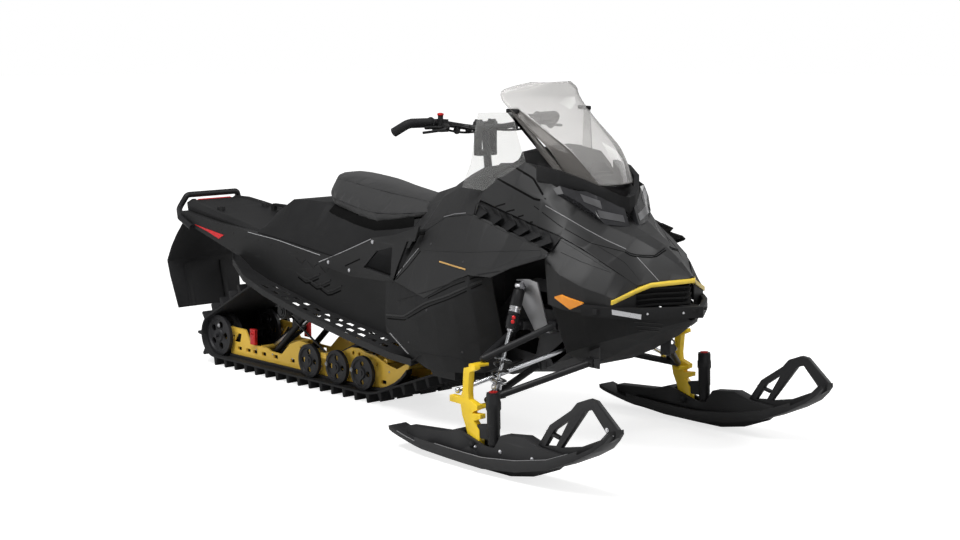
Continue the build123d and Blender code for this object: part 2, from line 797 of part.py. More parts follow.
# x, then y, z of the middle, the floor's edge, the bend and the upper edge of the belly pan
belly_table = [
    (1010, (0, 306), (-110, 306), (-222, 366), (-300, 551)),
    (1120, (0, 352), (-110, 356), (-212, 408), (-268, 535)),
    (1242, (0, 417), (-100, 422), (-170, 452), (-179, 527)),
    (1330, (0, 466), (-50, 468), (-90, 482), (-112, 521)),
    (1384, (0, 500), (-10, 501), (-16, 503), (-22, 512)),
]


def make_belly():
    stations = []
    for x, middle, floor, bend, edge in belly_table:
        stations.append((x, mirrored([middle, floor, bend, edge])))
    return skin(stations, panel_thickness)


def swept_band(points, height, depth):
    """Band of a constant height and depth along a (x, y) line at given heights."""
    line = [(x, y) for x, y, z in points]
    back = side_shift(line, depth)
    faces = []
    for (x, y, z), (xb, yb) in zip(points, back):
        corners = [(x, y, z - height / 2), (xb, yb, z - height / 2), (xb, yb, z + height / 2),
                   (x, y, z + height / 2)]
        faces.append(face_of(corners))
    return loft(faces, ruled=True)


def both_ends(points):
    return points + [(x, -y, z) for x, y, z in points[::-1] if abs(y) > 0.01]


# x, y, z along the bumper and along the yellow nose bar, from the right end to the middle
bumper_line = [(1150, -296, 540), (1258, -214, 534), (1312, -164, 534), (1434, 0, 536)]
nose_bar_line = [(1238, -236, 570), (1272, -150, 606), (1300, -112, 624), (1396, 0, 640)]
bumper_height, bumper_depth = 38.0, 16.0
nose_bar_height, nose_bar_depth = 15.0, 14.0


def make_front_bumper():
    """Bumper band round the nose, on a bracket in the middle and one at each end."""
    band = swept_band(both_ends(bumper_line), bumper_height, -bumper_depth)
    pieces = [side_cut([(1340, 546), (1424, 540), (1424, 550), (1340, 556)], -30, 30)]
    for sign in (-1, 1):
        near, far = sign * 225, sign * 272
        pieces.append(side_cut([(1172, 528), (1200, 528), (1200, 548), (1172, 548)], min(near, far),
                               max(near, far)))
    return band.fuse(*pieces)


def make_grille():
    """Slatted screen in the nose between the yellow bar and the bumper."""
    backing = swept_band(both_ends([(1170, -242, 580), (1276, -88, 588), (1348, 0, 592)]), 84, -6)
    slats = []
    for z, back in ((616, 8), (598, 6), (580, 4), (562, 2)):
        line = [(1256 - back, -150, z - 12), (1300 - back, -94, z - 5), (1378 - back, 0, z)]
        slats.append(swept_band(both_ends(line), 6, -26))
    return backing.fuse(*slats)


# x, y, z low and z high of the visor from its right end to the middle
visor_table = [(840, -206, 952, 1004), (926, -184, 936, 990), (1008, -140, 924, 962), (1058, -86, 894, 932),
               (1086, -36, 862, 906), (1092, 0, 840, 898)]


vent_bend, vent_depth = 17.0, 58.0


def make_vents(sign):
    """Gill of bent blades between the hood's foot and the side panel's upper edge."""
    # x of a blade's nose, y and z of its upper end, y and z of its lower end
    blades = [(668, -290, 856, -304, 812), (742, -286, 844, -302, 796), (812, -284, 828, -302, 780),
              (880, -284, 812, -310, 770), (946, -286, 796, -324, 758), (1006, -288, 778, -334, 744)]
    pieces = []
    for x, y_up, z_up, y_low, z_low in blades:
        sections = []
        for share, bend in ((0, -vent_bend), (0.5, vent_bend), (1, -vent_bend)):
            y, z = y_low + (y_up - y_low) * share, z_low + (z_up - z_low) * share
            nose, tail = x + bend, x + bend - vent_depth
            sections.append(face_of([(nose, y, z), (tail, y + 22, z + 8), (tail, y + 44, z + 8),
                                     (nose, y + 8, z)]))
        pieces.append(loft(sections, ruled=True))
    backing = [(590, (-262, 872), (-288, 816)), (760, (-256, 834), (-276, 786)),
               (1010, (-246, 768), (-300, 732))]
    wall = skin([(x, [low, up]) for x, up, low in backing], -4)
    return on_side(wall.fuse(*pieces), sign)


def make_visor():
    """Dark lip that runs under the screen, round the nose of the cowl."""
    full = visor_table + [(x, -y, low, high) for x, y, low, high in visor_table[-2::-1]]
    line = [(x, y) for x, y, low, high in full]
    back = side_shift(line, -20)
    faces = []
    for (x, y, low, high), (xb, yb) in zip(full, back):
        faces.append(face_of([(x, y, low), (xb, yb, low + 4), (xb, yb, high), (x, y, high)]))
    return loft(faces, ruled=True)

# y, then x, z of the lens's upper edge and of its lower edge, from the outer end
lens_table = [
    (194, 944, 940, 962, 914),
    (174, 1000, 926, 1022, 886),
    (136, 1016, 922, 1068, 842),
    (112, 1040, 908, 1082, 812),
    (72, 1064, 890, 1102, 806),
    (24, 1092, 860, 1116, 800),
]


def make_headlamp(sign):
    """Swept-back lamp between the visor and the hood."""
    faces = []
    for y, x_up, z_up, x_low, z_low in lens_table:
        faces.append(face_of([(x_up, -y, z_up), (x_low, -y, z_low), (x_low - 36, -y, z_low - 6),
                              (x_up - 36, -y, z_up - 14)]))
    return on_side(loft(faces, ruled=True), sign)


# ---- screen ----
# z, x of the middle, x of the side edge, y of the side edge
screen_table = [
    (940, 1050, 962, 148),
    (1000, 1021, 912, 158),
    (1056, 980, 866, 166),
    (1110, 906, 796, 176),
    (1185, 783, 702, 190),
    (1229, 745, 652, 197),
    (1262, 748, 646, 180),
    (1290, 762, 692, 96),
]


def screen_slice(z, x_mid, x_side, y_side):
    outer = ThreePointArc((x_side, -y_side, z), (x_mid, 0, z), (x_side, y_side, z))
    inner = ThreePointArc((x_side, y_side - screen_thickness, z), (x_mid - screen_thickness, 0, z),
                          (x_side, screen_thickness - y_side, z))
    edges = [outer, Line((x_side, y_side, z), (x_side, y_side - screen_thickness, z)), inner,
             Line((x_side, screen_thickness - y_side, z), (x_side, -y_side, z))]
    return make_face(edges)


def make_screen():
    return loft([screen_slice(*row) for row in screen_table], ruled=True)


def make_screen_frame():
    """Two pillars inside the screen's edges, joined by a strip along its foot."""
    pieces = []
    for sign in (-1, 1):
        faces = []
        for z, x_edge, y_edge in ((936, 966, 148), (1186, 702, 190)):
            corners = [(x_edge + 2, y_edge - 1), (x_edge - 34, y_edge - 1), (x_edge - 34, y_edge - 13),
                       (x_edge + 2, y_edge - 13)]
            faces.append(face_of([(x, sign * y, z) for x, y in corners]))
        pieces.append(loft(faces, ruled=True))
    strip = swept_band(both_ends([(938, -142, 954), (1000, -108, 950), (1047, 0, 944)]), 22, -8)
    return strip.fuse(*pieces)


def make_wing(sign):
    """Clear wind deflector beside the screen, from the console up to the pillar's head."""
    spots = [(622, -258, 904), (560, -304, 917), (585, -287, 996), (608, -269, 1181), (705, -200, 1185),
             (760, -188, 1010)]
    a, b, c = Vector(*spots[1]), Vector(*spots[3]), Vector(*spots[4])
    normal = (b - a).cross(c - a).normalized()
    flat = []
    for spot in spots:
        p = Vector(*spot)
        flat.append(p - normal * (p - a).dot(normal))
    plate = extrude(make_face(Polyline(*flat, close=True)), amount=screen_thickness, dir=normal)
    return on_side(plate, sign)


# ---- console ----
# x, half width low, z low, half width mid, z mid, half width top, z top
console_table = [
    (110, 204, 640, 96, 786, 36, 836),
    (150, 206, 650, 100, 806, 58, 852),
    (236, 262, 690, 116, 832, 76, 874),
    (322, 284, 738, 232, 804, 112, 893),
    (356, 296, 764, 214, 860, 138, 903),
    (449, 289, 797, 222, 898, 158, 944),
    (535, 292, 812, 232, 932, 170, 978),
    (617, 292, 820, 232, 950, 168, 992),
]


def make_console():
    stations = []
    for x, w_low, z_low, w_mid, z_mid, w_top, z_top in console_table:
        stations.append((x, mirrored([(0, z_top), (-w_top, z_top), (-w_mid, z_mid), (-w_low, z_low)])[::-1]))
    console = skin(stations, panel_thickness)
    low, high = steer_point(-90), steer_point(60)
    return console - rod(low, high, post_radius + 8)


def make_instrument_hood():
    # x, half width, z low, z top
    table = [(600, 120, 992, 1000), (660, 128, 990, 1046), (760, 122, 990, 1066), (880, 96, 985, 1052),
             (950, 70, 965, 1010)]
    stations = []
    for x, half, low, high in table:
        stations.append((x, [(-half, low), (-half * 0.8, high - 8), (-half * 0.3, high), (half * 0.3, high),
                             (half * 0.8, high - 8), (half, low)]))
    return body_between(stations)


# ---- steering ----
def steer_point(distance, across=0.0):
    """Point on the steering axis, at a distance above the console."""
    dx, dz = steer_top[0] - steer_base[0], steer_top[1] - steer_base[1]
    size = math.hypot(dx, dz)
    return (steer_base[0] + dx / size * distance, across, steer_base[1] + dz / size * distance)


def make_steering_mount():
    """Bearing block under the console that the steering post turns in."""
    low, high = steer_point(-92), steer_point(-70)
    place = Plane(origin=low, z_dir=Vector(*high) - Vector(*low))
    block = place * Box(78, 420, 22, align=(Align.CENTER, Align.CENTER, Align.MIN))
    return block - rod(steer_point(-120), steer_point(0), post_radius + fit_gap)


def make_handlebar():
    post = rod(steer_point(-114), steer_point(146), post_radius)
    collar = rod(steer_point(-69), steer_point(-56), post_radius + 6)
    nut = rod(steer_point(-109), steer_point(-93), post_radius + 6)
    riser = Pos(352, 0, 1112) * Box(34, 92, 34)
    half = [(366, 0, 1112), (372, -70, 1108), (392, -150, 1118), (362, -236, 1134), (352, -370, 1136)]
    full = half[::-1] + [(x, -y, z) for x, y, z in half[1:]]
    bar = bent_tube(full, bar_radius, 26)
    return bar.fuse(post, collar, nut, riser)


def make_grip(sign):
    """Rubber grip with a hook at its outer end."""
    path = [(354, -262, 1135), (352, -376, 1136), (296, -398, 1102)]
    grip = bent_tube(path, grip_radius, 24)
    return on_side(grip, sign)


def make_control(sign):
    """Control block with its lever, inboard of a grip."""
    block = Pos(364, -234, 1124) * Box(52, 34, 46)
    lever = rod((392, -240, 1118), (392, -330, 1120), 6)
    block += lever
    if sign < 0:
        block += rod((356, -226, 1140), (356, -226, 1166), 10)
    return on_side(block, sign)


# ---- front end ----
def side_point(spot, sign):
    return (spot[0], sign * spot[1], spot[2])


def make_arm(sign, outer, inners):
    tubes = [rod(side_point(outer, sign), side_point(inner, sign), arm_tube_radius) for inner in inners]
    ends = [rod((inner[0] - arm_eye_half, sign * inner[1], inner[2]), (inner[0] + arm_eye_half,
            sign * inner[1], inner[2]),
                arm_tube_radius + 4) for inner in inners]
    return tubes[0].fuse(tubes[1], ball(side_point(outer, sign), ball_radius), *ends)


def make_front_shock(sign):
    top, bottom = side_point(shock_top, sign), side_point(shock_bottom, sign)
    return damper(top, bottom, 0.43, shock_body_radius, shock_shaft_radius)


def make_front_spring(sign):
    """Coil round the lower part of a damper, drawn as its rounded sleeve of turns."""
    a, b = Vector(*side_point(shock_top, sign)), Vector(*side_point(shock_bottom, sign))
    length = (b - a).length
    start, end = length * 0.7, length * 0.92
    pitch = (end - start) / spring_turns
    line = [(shock_shaft_radius, start)]
    for turn in range(spring_turns):
        low = start + pitch * turn
        line += [(spring_radius - 4, low), (spring_radius, low + pitch * 0.35),
                 (spring_radius, low + pitch * 0.65)]
    line += [(spring_radius - 4, end), (shock_shaft_radius, end)]
    sleeve = revolve(face_of([(r, 0, h) for r, h in line]), axis=Axis.Z)
    return Plane(origin=a, z_dir=b - a) * sleeve


def make_front_frame():
    """Bulkhead: two side plates with slots for the tie rods, a floor, cross tubes and arm brackets."""
    outline = [(422, 240), (700, 240), (860, 284), (1000, 348), (1084, 388), (1084, 322), (1130, 322),
               (1132, 410),
               (1112, 424), (1030, 520), (960, 600), (820, 606), (720, 560), (640, 480), (422, 480)]
    slope = math.atan2(rod_eye_outer[2] - rod_eye_inner[2], rod_eye_outer[0] - rod_eye_inner[0])
    share = (frame_half_width - rod_eye_inner[1]) / (rod_eye_outer[1] - rod_eye_inner[1])
    centre = (rod_eye_inner[0] + (rod_eye_outer[0] - rod_eye_inner[0]) * share,
              rod_eye_inner[2] + (rod_eye_outer[2] - rod_eye_inner[2]) * share)
    half_l, half_w = rod_slot_length / 2, rod_slot_width / 2
    slot = turned([(-half_l, -half_w), (half_l, -half_w), (half_l, half_w), (-half_l, half_w)], centre,
                  slope)
    lightening = [(700, 340), (820, 330), (836, 390), (720, 440)]
    upper_hole = [(800, 500), (930, 500), (930, 560), (820, 560)]
    inner = frame_half_width - frame_plate
    pieces = []
    for sign in (-1, 1):
        plate = side_cut(outline, min(sign * inner, sign * frame_half_width),
                         max(sign * inner, sign * frame_half_width))
        for hole in (slot, lightening, upper_hole):
            plate -= side_cut(hole, -260, 260)
        pieces.append(plate)
        for x, y, z in upper_pivots + lower_pivots:
            near, far = sign * (inner + 2), sign * (y + 4)
            for x_tab in (x - arm_eye_half - frame_plate, x + arm_eye_half):
                tab = [(near, z - 14), (far, z - 14), (far, z + 14), (near, z + 14)]
                pieces.append(front_cut(tab, x_tab, x_tab + frame_plate))
    floor_line = [(422, 240, 240), (700, 240, 240), (860, 264, 288), (1008, 306, 348)]
    floor = skin([(x, mirrored([(0, low), (-110, low), (-inner - 1, high)])) for x, low,
                  high in floor_line], frame_plate)
    for x, z in ((1070, 412), (840, 588), (660, 470)):
        pieces.append(cross_shaft(x, z, 13, inner + 1))
    pieces.append(front_cut([(-tunnel_half_width, 240), (tunnel_half_width, 240), (tunnel_half_width, 494),
                             (-tunnel_half_width, 494)], tunnel_top[0][0], tunnel_top[0][0] + 4))
    return floor.fuse(*pieces)


def make_shock_tower(sign):
    """Bent plate that carries a shock's upper eye, from the bulkhead's side up to the shock."""
    plate = [(872, 430), (948, 430), (952, 500), (958, 560), (964, 618), (925, 626), (862, 618), (850, 520)]
    low = frame_half_width + 52
    faces = []
    for drop in (0, 6):
        faces.append(face_of([(x, -(low + (z - 430) * 0.42) - drop, z) for x, z in plate]))
    foot = side_cut([(872, 430), (948, 430), (948, 438), (872, 438)], -low - 6, -frame_half_width)
    return on_side(loft(faces, ruled=True) + foot, sign)


def make_engine():
    return Pos(532, 0, 445) * Box(200, 320, 400)


def make_tie_rods():
    link = Pos(rod_eye_inner[0], 0, rod_eye_inner[2]) * Box(20, 2 * rod_eye_inner[1], drag_link_height)
    pieces = []
    for sign in (-1, 1):
        pieces.append(rod(side_point(rod_eye_inner, sign), side_point(rod_eye_outer, sign), tie_rod_radius))
        pieces.append(ball(side_point(rod_eye_outer, sign), tie_rod_radius + 3))
    return link.fuse(*pieces)


# ---- skis ----
# x, z of the ski's sole from the tail to the tip
ski_sole = [(478, 62, 14), (500, 55, 26), (560, 45, 32), (682, 29, 34), (821, 24, 36), (1000, 20, 38),
            (1160, 38, 38), (1307, 72, 34), (1419, 121, 28), (1490, 160, 24), (1530, 194, 20), (1552, 220,
                    14)]


def make_ski(sign):
    """Ski: a thin sole with raised edges, a boxed rib and a keel bar."""
    sole = [(x, z) for x, z, edge in ski_sole]
    top = [(x - 3, z + ski_sole_thickness) for x, z in sole]
    slab = side_cut(sole + top[::-1], -ski_width / 2, ski_width / 2)
    edge_top = [(x - 4, z + edge) for x, z, edge in ski_sole]
    pieces = []
    for edge in (-1, 1):
        y_out = edge * ski_width / 2
        y_in = edge * (ski_width / 2 - ski_flange_thickness)
        pieces.append(side_cut(sole + edge_top[::-1], min(y_out, y_in), max(y_out, y_in)))
    rib = [(560, 56), (552, 84), (752, 98), (825, 122), (960, 84), (1010, 84), (1044, 135), (1148, 147),
           (1227, 125), (1330, 120), (1330, 82), (1160, 44), (821, 30)]
    pieces.append(side_cut(rib, -ski_rib_width / 2, ski_rib_width / 2))
    half = ski_width / 2
    plan = [(440, -half + 45), (470, -half + 29), (640, -half + 9), (900, -half), (1330, -half),
            (1480, -half + 13),
            (1560, -half + 39), (1560, half - 39), (1480, half - 13), (1330, half), (900, half), (640,
                    half - 9),
            (470, half - 29), (440, half - 45)]
    body = slab.fuse(*pieces) & plan_cut(plan, -20, 400)
    pocket = side_cut([(845, 60), (975, 60), (975, 200), (845, 200)], -spindle_width / 2 - 2,
                      spindle_width / 2 + 2)
    body = (body - pocket).fuse(make_keel())
    return Pos(0, sign * ski_y, 0) * body


def make_keel():
    """Keel bar under the ski, whose middle rests on the snow."""
    keel = [(600, 53), (682, 12), (800, 2), (960, 0), (1080, 0), (1190, 20), (1290, 58), (1307, 72),
            (1160, 38),
            (1000, 20), (821, 24), (682, 33)]
    return side_cut(keel, -ski_keel_width / 2, ski_keel_width / 2)


def make_ski_handle(sign):
    """Loop at the ski's tip, open between its post, its top bar and its front leg."""
    outer = [(1206, 126), (1262, 206), (1358, 270), (1385, 299), (1436, 319), (1466, 316), (1560, 240),
             (1556, 212),
             (1500, 172), (1400, 132), (1290, 96)]
    hole = [(1312, 138), (1420, 276), (1452, 286), (1516, 222), (1490, 196), (1400, 156)]
    notch = [(1240, 132), (1282, 192), (1352, 240), (1290, 138)]
    loop = side_cut(outer, -ski_handle_width / 2, ski_handle_width / 2)
    for cut in (hole, notch):
        loop -= side_cut(cut, -60, 60)
    return Pos(0, sign * ski_y, 0) * loop


def make_spindle(sign):
    """Slim bent ski leg with a steering ear, a seat under each ball joint and a pin through the ski."""
    outline = [(846, 334), (900, 350), (904, 336), (874, 322), (868, 253), (871, 228), (914, 214),
               (914, 199),
               (890, 188), (890, 183), (930, 186), (930, 170), (896, 158), (924, 130), (928, 64), (880, 64),
               (858, 128), (838, 168), (829, 206), (829, 232), (839, 252), (844, 322)]
    leg = side_cut(outline, -spindle_width / 2, spindle_width / 2)
    pin_x, pin_z = spindle_pin_at
    pieces = [cross_shaft(pin_x, pin_z, spindle_pin_radius, ski_rib_width / 2 + 4)]
    pieces.append(side_cut([(773, 208), (832, 206), (832, 230), (773, 230)], -spindle_width / 2,
                           spindle_width / 2))
    for x, y, z in (upper_ball, lower_ball):
        top = z - ball_radius - fit_gap
        seat = [(0, top - 10), (ball_inset + 12, top - 10), (ball_inset + 12, top), (0, top)]
        pieces.append(front_cut(seat, x - 16, x + 16))
    return on_side(Pos(0, -ski_y, 0) * leg.fuse(*pieces), sign)


def make_adjuster(sign):
    """Round post in front of the spindle that sets the ski's bite, with its cap."""
    y = sign * ski_y
    post = rod((adjuster_x, y, adjuster_base_z), (adjuster_x - 4, y, adjuster_cap_z), adjuster_radius)
    cap = rod((adjuster_x - 4, y, adjuster_cap_z), (adjuster_x - 5, y, adjuster_cap_z + adjuster_cap_height),
              adjuster_radius + 6)
    tie = side_cut([(912, 104), (adjuster_x - 8, 104), (adjuster_x - 8, 160), (912, 148)], y - 10, y + 10)
    return post.fuse(cap, tie)


# ---- write the pieces ----
def group(solids):
    """One node made of pieces that don't touch."""
    return Compound(children=[Part(solid.wrapped) for solid in solids])


def pair(make):
    return group([make(sign) for name, sign in SIDES])


def make_front_arms(sign):
    """Upper and lower arm of one side; the lower one carries the shock's seat."""
    x, y, z = shock_bottom
    seat_low, seat_top = z - 34, z - 12
    seat = side_cut([(x - 18, seat_low), (x + 34, seat_low), (x + 34, seat_top), (x - 18, seat_top)],
                    min(sign * (y - 12), sign * (y + 12)), max(sign * (y - 12), sign * (y + 12)))
    return [make_arm(sign, upper_ball, upper_pivots), make_arm(sign, lower_ball, lower_pivots) + seat]


def make_all():
    pieces = {
        "track": make_track(),
        "rear_axle_idlers": make_rear_axle(),
        "upper_wheels": make_upper_wheels(),
        "rail_wheels": group(make_rail_wheels()),
        "drive_axle": make_drive_axle(),
        "slide_rails": make_rails(),
        "slide_shoes": pair(make_shoe),
        "swing_arms": group(make_swing_arms()),
        "rear_shocks": make_rear_shocks(),
        "torsion_springs": group(make_torsion_springs()),
        "tunnel": make_tunnel(),
        "running_boards": pair(make_board),
        "rear_deck": make_deck(),
        "tail_lamp": make_tail_lamp(),
        "rear_bumper": make_rear_bumper(),
        "snow_flap": make_snow_flap(),
        "seat": make_seat(),
        "seat_base": make_seat_base(),
        "side_braces": pair(make_side_brace),
        "side_panels": pair(make_side_panel),
        "side_pods": pair(make_side_pod),
        "hood": make_hood(),
        "nose_sides": pair(make_nose_side),
        "side_markers": pair(make_side_marker),
        "vents": pair(make_vents),
        "belly_pan": make_belly(),
        "front_bumper": make_front_bumper(),
        "nose_bar": swept_band(both_ends(nose_bar_line), nose_bar_height, -nose_bar_depth),
        "grille": make_grille(),
        "visor": make_visor(),
        "headlamps": pair(make_headlamp),
        "windshield": make_screen(),
        "windshield_frame": make_screen_frame(),
        "wind_deflectors": pair(make_wing),
        "console": make_console(),
        "instrument_hood": make_instrument_hood(),
        "steering_mount": make_steering_mount(),
        "front_frame": make_front_frame(),
        "engine": make_engine(),
        "shock_towers": pair(make_shock_tower),
        "front_arms": group(make_front_arms(-1) + make_front_arms(1)),
        "front_shocks": pair(make_front_shock),
        "front_springs": pair(make_front_spring),
        "handlebar": make_handlebar(),
        "grips": pair(make_grip),
        "controls": pair(make_control),
        "tie_rods": make_tie_rods(),
    }
    for side, sign in SIDES:
        pieces[f"ski_{side}"] = make_ski(sign)
        pieces[f"ski_handle_{side}"] = make_ski_handle(sign)
        pieces[f"spindle_{side}"] = make_spindle(sign)
        pieces[f"adjuster_{side}"] = make_adjuster(sign)
    for node, cutters in trims:
        pieces[node] = trimmed(pieces[node], *[pieces[cutter] for cutter in cutters])
    return pieces

# a piece, then the pieces that it is cut back to
trims = [
    ("ski_right", ("spindle_right",)),
    ("ski_left", ("spindle_left",)),
    ("ski_handle_right", ("ski_right",)),
    ("ski_handle_left", ("ski_left",)),
    ("adjuster_right", ("spindle_right", "ski_right")),
    ("adjuster_left", ("spindle_left", "ski_left")),
    ("grips", ("handlebar",)),
    ("controls", ("handlebar", "grips")),
    ("rear_bumper", ("tunnel", "rear_deck")),
    ("snow_flap", ("tunnel", "rear_deck")),
    ("running_boards", ("tunnel",)),
    ("rear_shocks", ("swing_arms", "slide_rails")),
    ("seat_base", ("rear_deck",)),
    ("side_panels", ("front_frame",)),
    ("side_braces", ("side_panels", "running_boards")),
    ("side_pods", ("side_panels", "tunnel", "front_frame", "running_boards")),
    ("console", ("seat", "seat_base", "side_panels", "tunnel")),
    ("steering_mount", ("console",)),
    ("headlamps", ("visor",)),
    ("hood", ("console", "instrument_hood", "visor", "headlamps", "nose_bar")),
    ("instrument_hood", ("console",)),
    ("visor", ("windshield",)),
    ("nose_sides", ("hood",)),
    ("side_markers", ("nose_sides",)),
    ("belly_pan", ("nose_sides", "front_frame")),
    ("grille", ("nose_sides", "nose_bar", "hood", "belly_pan")),
    ("nose_bar", ("nose_sides",)),
    ("front_bumper", ("nose_sides", "grille", "belly_pan")),
    ("vents", ("console", "side_panels", "hood", "nose_sides")),
    ("front_arms", ("front_frame",)),
    ("windshield_frame", ("windshield", "hood", "visor")),
    ("wind_deflectors", ("hood", "console", "windshield", "windshield_frame", "visor", "instrument_hood")),
    ("front_shocks", ("front_arms",)),
    ("front_springs", ("front_shocks",)),
    ("shock_towers", ("front_frame", "front_shocks")),
]


os.makedirs("parts", exist_ok=True)
for node, piece in make_all().items():
    export_step(piece, f"parts/{node}.step")
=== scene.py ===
import bpy, bmesh, json, math
from mathutils import Matrix, Vector
from mathutils.bvhtree import BVHTree


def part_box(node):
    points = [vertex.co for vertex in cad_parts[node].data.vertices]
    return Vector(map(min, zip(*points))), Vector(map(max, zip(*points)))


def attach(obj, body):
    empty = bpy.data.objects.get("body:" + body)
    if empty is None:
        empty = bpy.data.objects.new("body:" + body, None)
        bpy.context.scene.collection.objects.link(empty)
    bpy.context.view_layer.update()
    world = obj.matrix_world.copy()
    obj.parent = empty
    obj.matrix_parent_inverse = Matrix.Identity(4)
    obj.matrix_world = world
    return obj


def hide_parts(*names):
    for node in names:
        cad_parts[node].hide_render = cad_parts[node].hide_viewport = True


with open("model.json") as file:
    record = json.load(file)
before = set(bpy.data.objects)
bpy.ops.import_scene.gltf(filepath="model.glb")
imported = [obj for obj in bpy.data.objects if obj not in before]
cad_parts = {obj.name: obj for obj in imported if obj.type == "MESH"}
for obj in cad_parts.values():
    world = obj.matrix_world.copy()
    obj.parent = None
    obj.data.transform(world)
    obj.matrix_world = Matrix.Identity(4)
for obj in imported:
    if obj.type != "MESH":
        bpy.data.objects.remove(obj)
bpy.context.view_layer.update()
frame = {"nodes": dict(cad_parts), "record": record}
nodes = frame["nodes"]
mm = 0.001
sides = (-1, 1)  # right, left
print("frame loaded")

# the viewing angle comes first, because some trim is placed along its lines of sight
view = {"place": (5.341, -4.573, 1.523), "pitch": -8.0429, "heading": 47.6589, "lens": 67.62, "frame": (960, 540)}
cameraData = bpy.data.cameras.new("mainView")
cameraData.lens = view["lens"]
cameraData.sensor_width = 36.0
cameraData.clip_end = 200
camera = bpy.data.objects.new("mainView", cameraData)
camera.location = view["place"]
camera.rotation_euler = (math.radians(90 + view["pitch"]), 0, math.radians(view["heading"]))
bpy.context.scene.collection.objects.link(camera)
bpy.context.scene.camera = camera


# shared effects
def newGroup(name, inputs, outputs):
    group = bpy.data.node_groups.new(name, "ShaderNodeTree")
    for label, kind, value in inputs:
        socket = group.interface.new_socket(name=label, in_out="INPUT", socket_type=kind)
        socket.default_value = value
    for label, kind in outputs:
        group.interface.new_socket(name=label, in_out="OUTPUT", socket_type=kind)
    return group, group.nodes.new("NodeGroupInput"), group.nodes.new("NodeGroupOutput")


def addNode(tree, kind, **values):
    node = tree.nodes.new(kind)
    for key, value in values.items():
        if key in node.inputs:
            node.inputs[key].default_value = value
        else:
            setattr(node, key, value)
    return node


def mottleGroup():  # slow and fine changes of tone, as dust, wash marks and moulding give
    group, entry, result = newGroup(
        "mottle",
        [("Color", "NodeSocketColor", (0.5, 0.5, 0.5, 1)), ("Second", "NodeSocketColor", (0.6, 0.6, 0.6, 1)),
         ("Scale", "NodeSocketFloat", 6.0), ("Amount", "NodeSocketFloat", 0.3), ("Rough", "NodeSocketFloat", 0.5),
         ("Rough spread", "NodeSocketFloat", 0.1)],
        [("Color", "NodeSocketColor"), ("Roughness", "NodeSocketFloat"), ("Mask", "NodeSocketFloat")])
    link = group.links.new
    place = addNode(group, "ShaderNodeTexCoord")
    broad = addNode(group, "ShaderNodeTexNoise", Detail=6.0, Roughness=0.62)
    link(place.outputs["Object"], broad.inputs["Vector"])
    link(entry.outputs["Scale"], broad.inputs["Scale"])
    span = addNode(group, "ShaderNodeMapRange")
    span.inputs["From Min"].default_value = 0.35
    span.inputs["From Max"].default_value = 0.72
    link(broad.outputs["Fac"], span.inputs["Value"])
    share = addNode(group, "ShaderNodeMath", operation="MULTIPLY")
    link(span.outputs["Result"], share.inputs[0])
    link(entry.outputs["Amount"], share.inputs[1])
    blend = addNode(group, "ShaderNodeMix", data_type="RGBA")
    link(share.outputs[0], blend.inputs["Factor"])
    link(entry.outputs["Color"], blend.inputs["A"])
    link(entry.outputs["Second"], blend.inputs["B"])
    rough = addNode(group, "ShaderNodeMath", operation="MULTIPLY_ADD")
    link(span.outputs["Result"], rough.inputs[0])
    link(entry.outputs["Rough spread"], rough.inputs[1])
    link(entry.outputs["Rough"], rough.inputs[2])
    link(blend.outputs["Result"], result.inputs["Color"])
    link(rough.outputs[0], result.inputs["Roughness"])
    link(span.outputs["Result"], result.inputs["Mask"])
    return group


def grainGroup():  # moulded grain: small cells with a finer noise over them
    group, entry, result = newGroup(
        "grain",
        [("Cell scale", "NodeSocketFloat", 400.0), ("Depth", "NodeSocketFloat", 0.2),
         ("Ripple", "NodeSocketFloat", 0.3)],
        [("Normal", "NodeSocketVector"), ("Height", "NodeSocketFloat")])
    link = group.links.new
    place = addNode(group, "ShaderNodeTexCoord")
    cells = addNode(group, "ShaderNodeTexVoronoi", feature="F1")
    fine = addNode(group, "ShaderNodeTexNoise", Detail=4.0)
    broad = addNode(group, "ShaderNodeTexNoise", Scale=9.0, Detail=2.0)
    for texture in (cells, fine, broad):
        link(place.outputs["Object"], texture.inputs["Vector"])
    for texture in (cells, fine):
        link(entry.outputs["Cell scale"], texture.inputs["Scale"])
    both = addNode(group, "ShaderNodeMath", operation="MULTIPLY_ADD")
    link(fine.outputs["Fac"], both.inputs[0])
    both.inputs[1].default_value = 0.5
    link(cells.outputs["Distance"], both.inputs[2])
    bump = addNode(group, "ShaderNodeBump", Distance=0.0006)
    link(entry.outputs["Depth"], bump.inputs["Strength"])
    link(both.outputs[0], bump.inputs["Height"])
    wave = addNode(group, "ShaderNodeBump", Distance=0.01)
    link(entry.outputs["Ripple"], wave.inputs["Strength"])
    link(broad.outputs["Fac"], wave.inputs["Height"])
    link(bump.outputs["Normal"], wave.inputs["Normal"])
    link(wave.outputs["Normal"], result.inputs["Normal"])
    link(both.outputs[0], result.inputs["Height"])
    return group


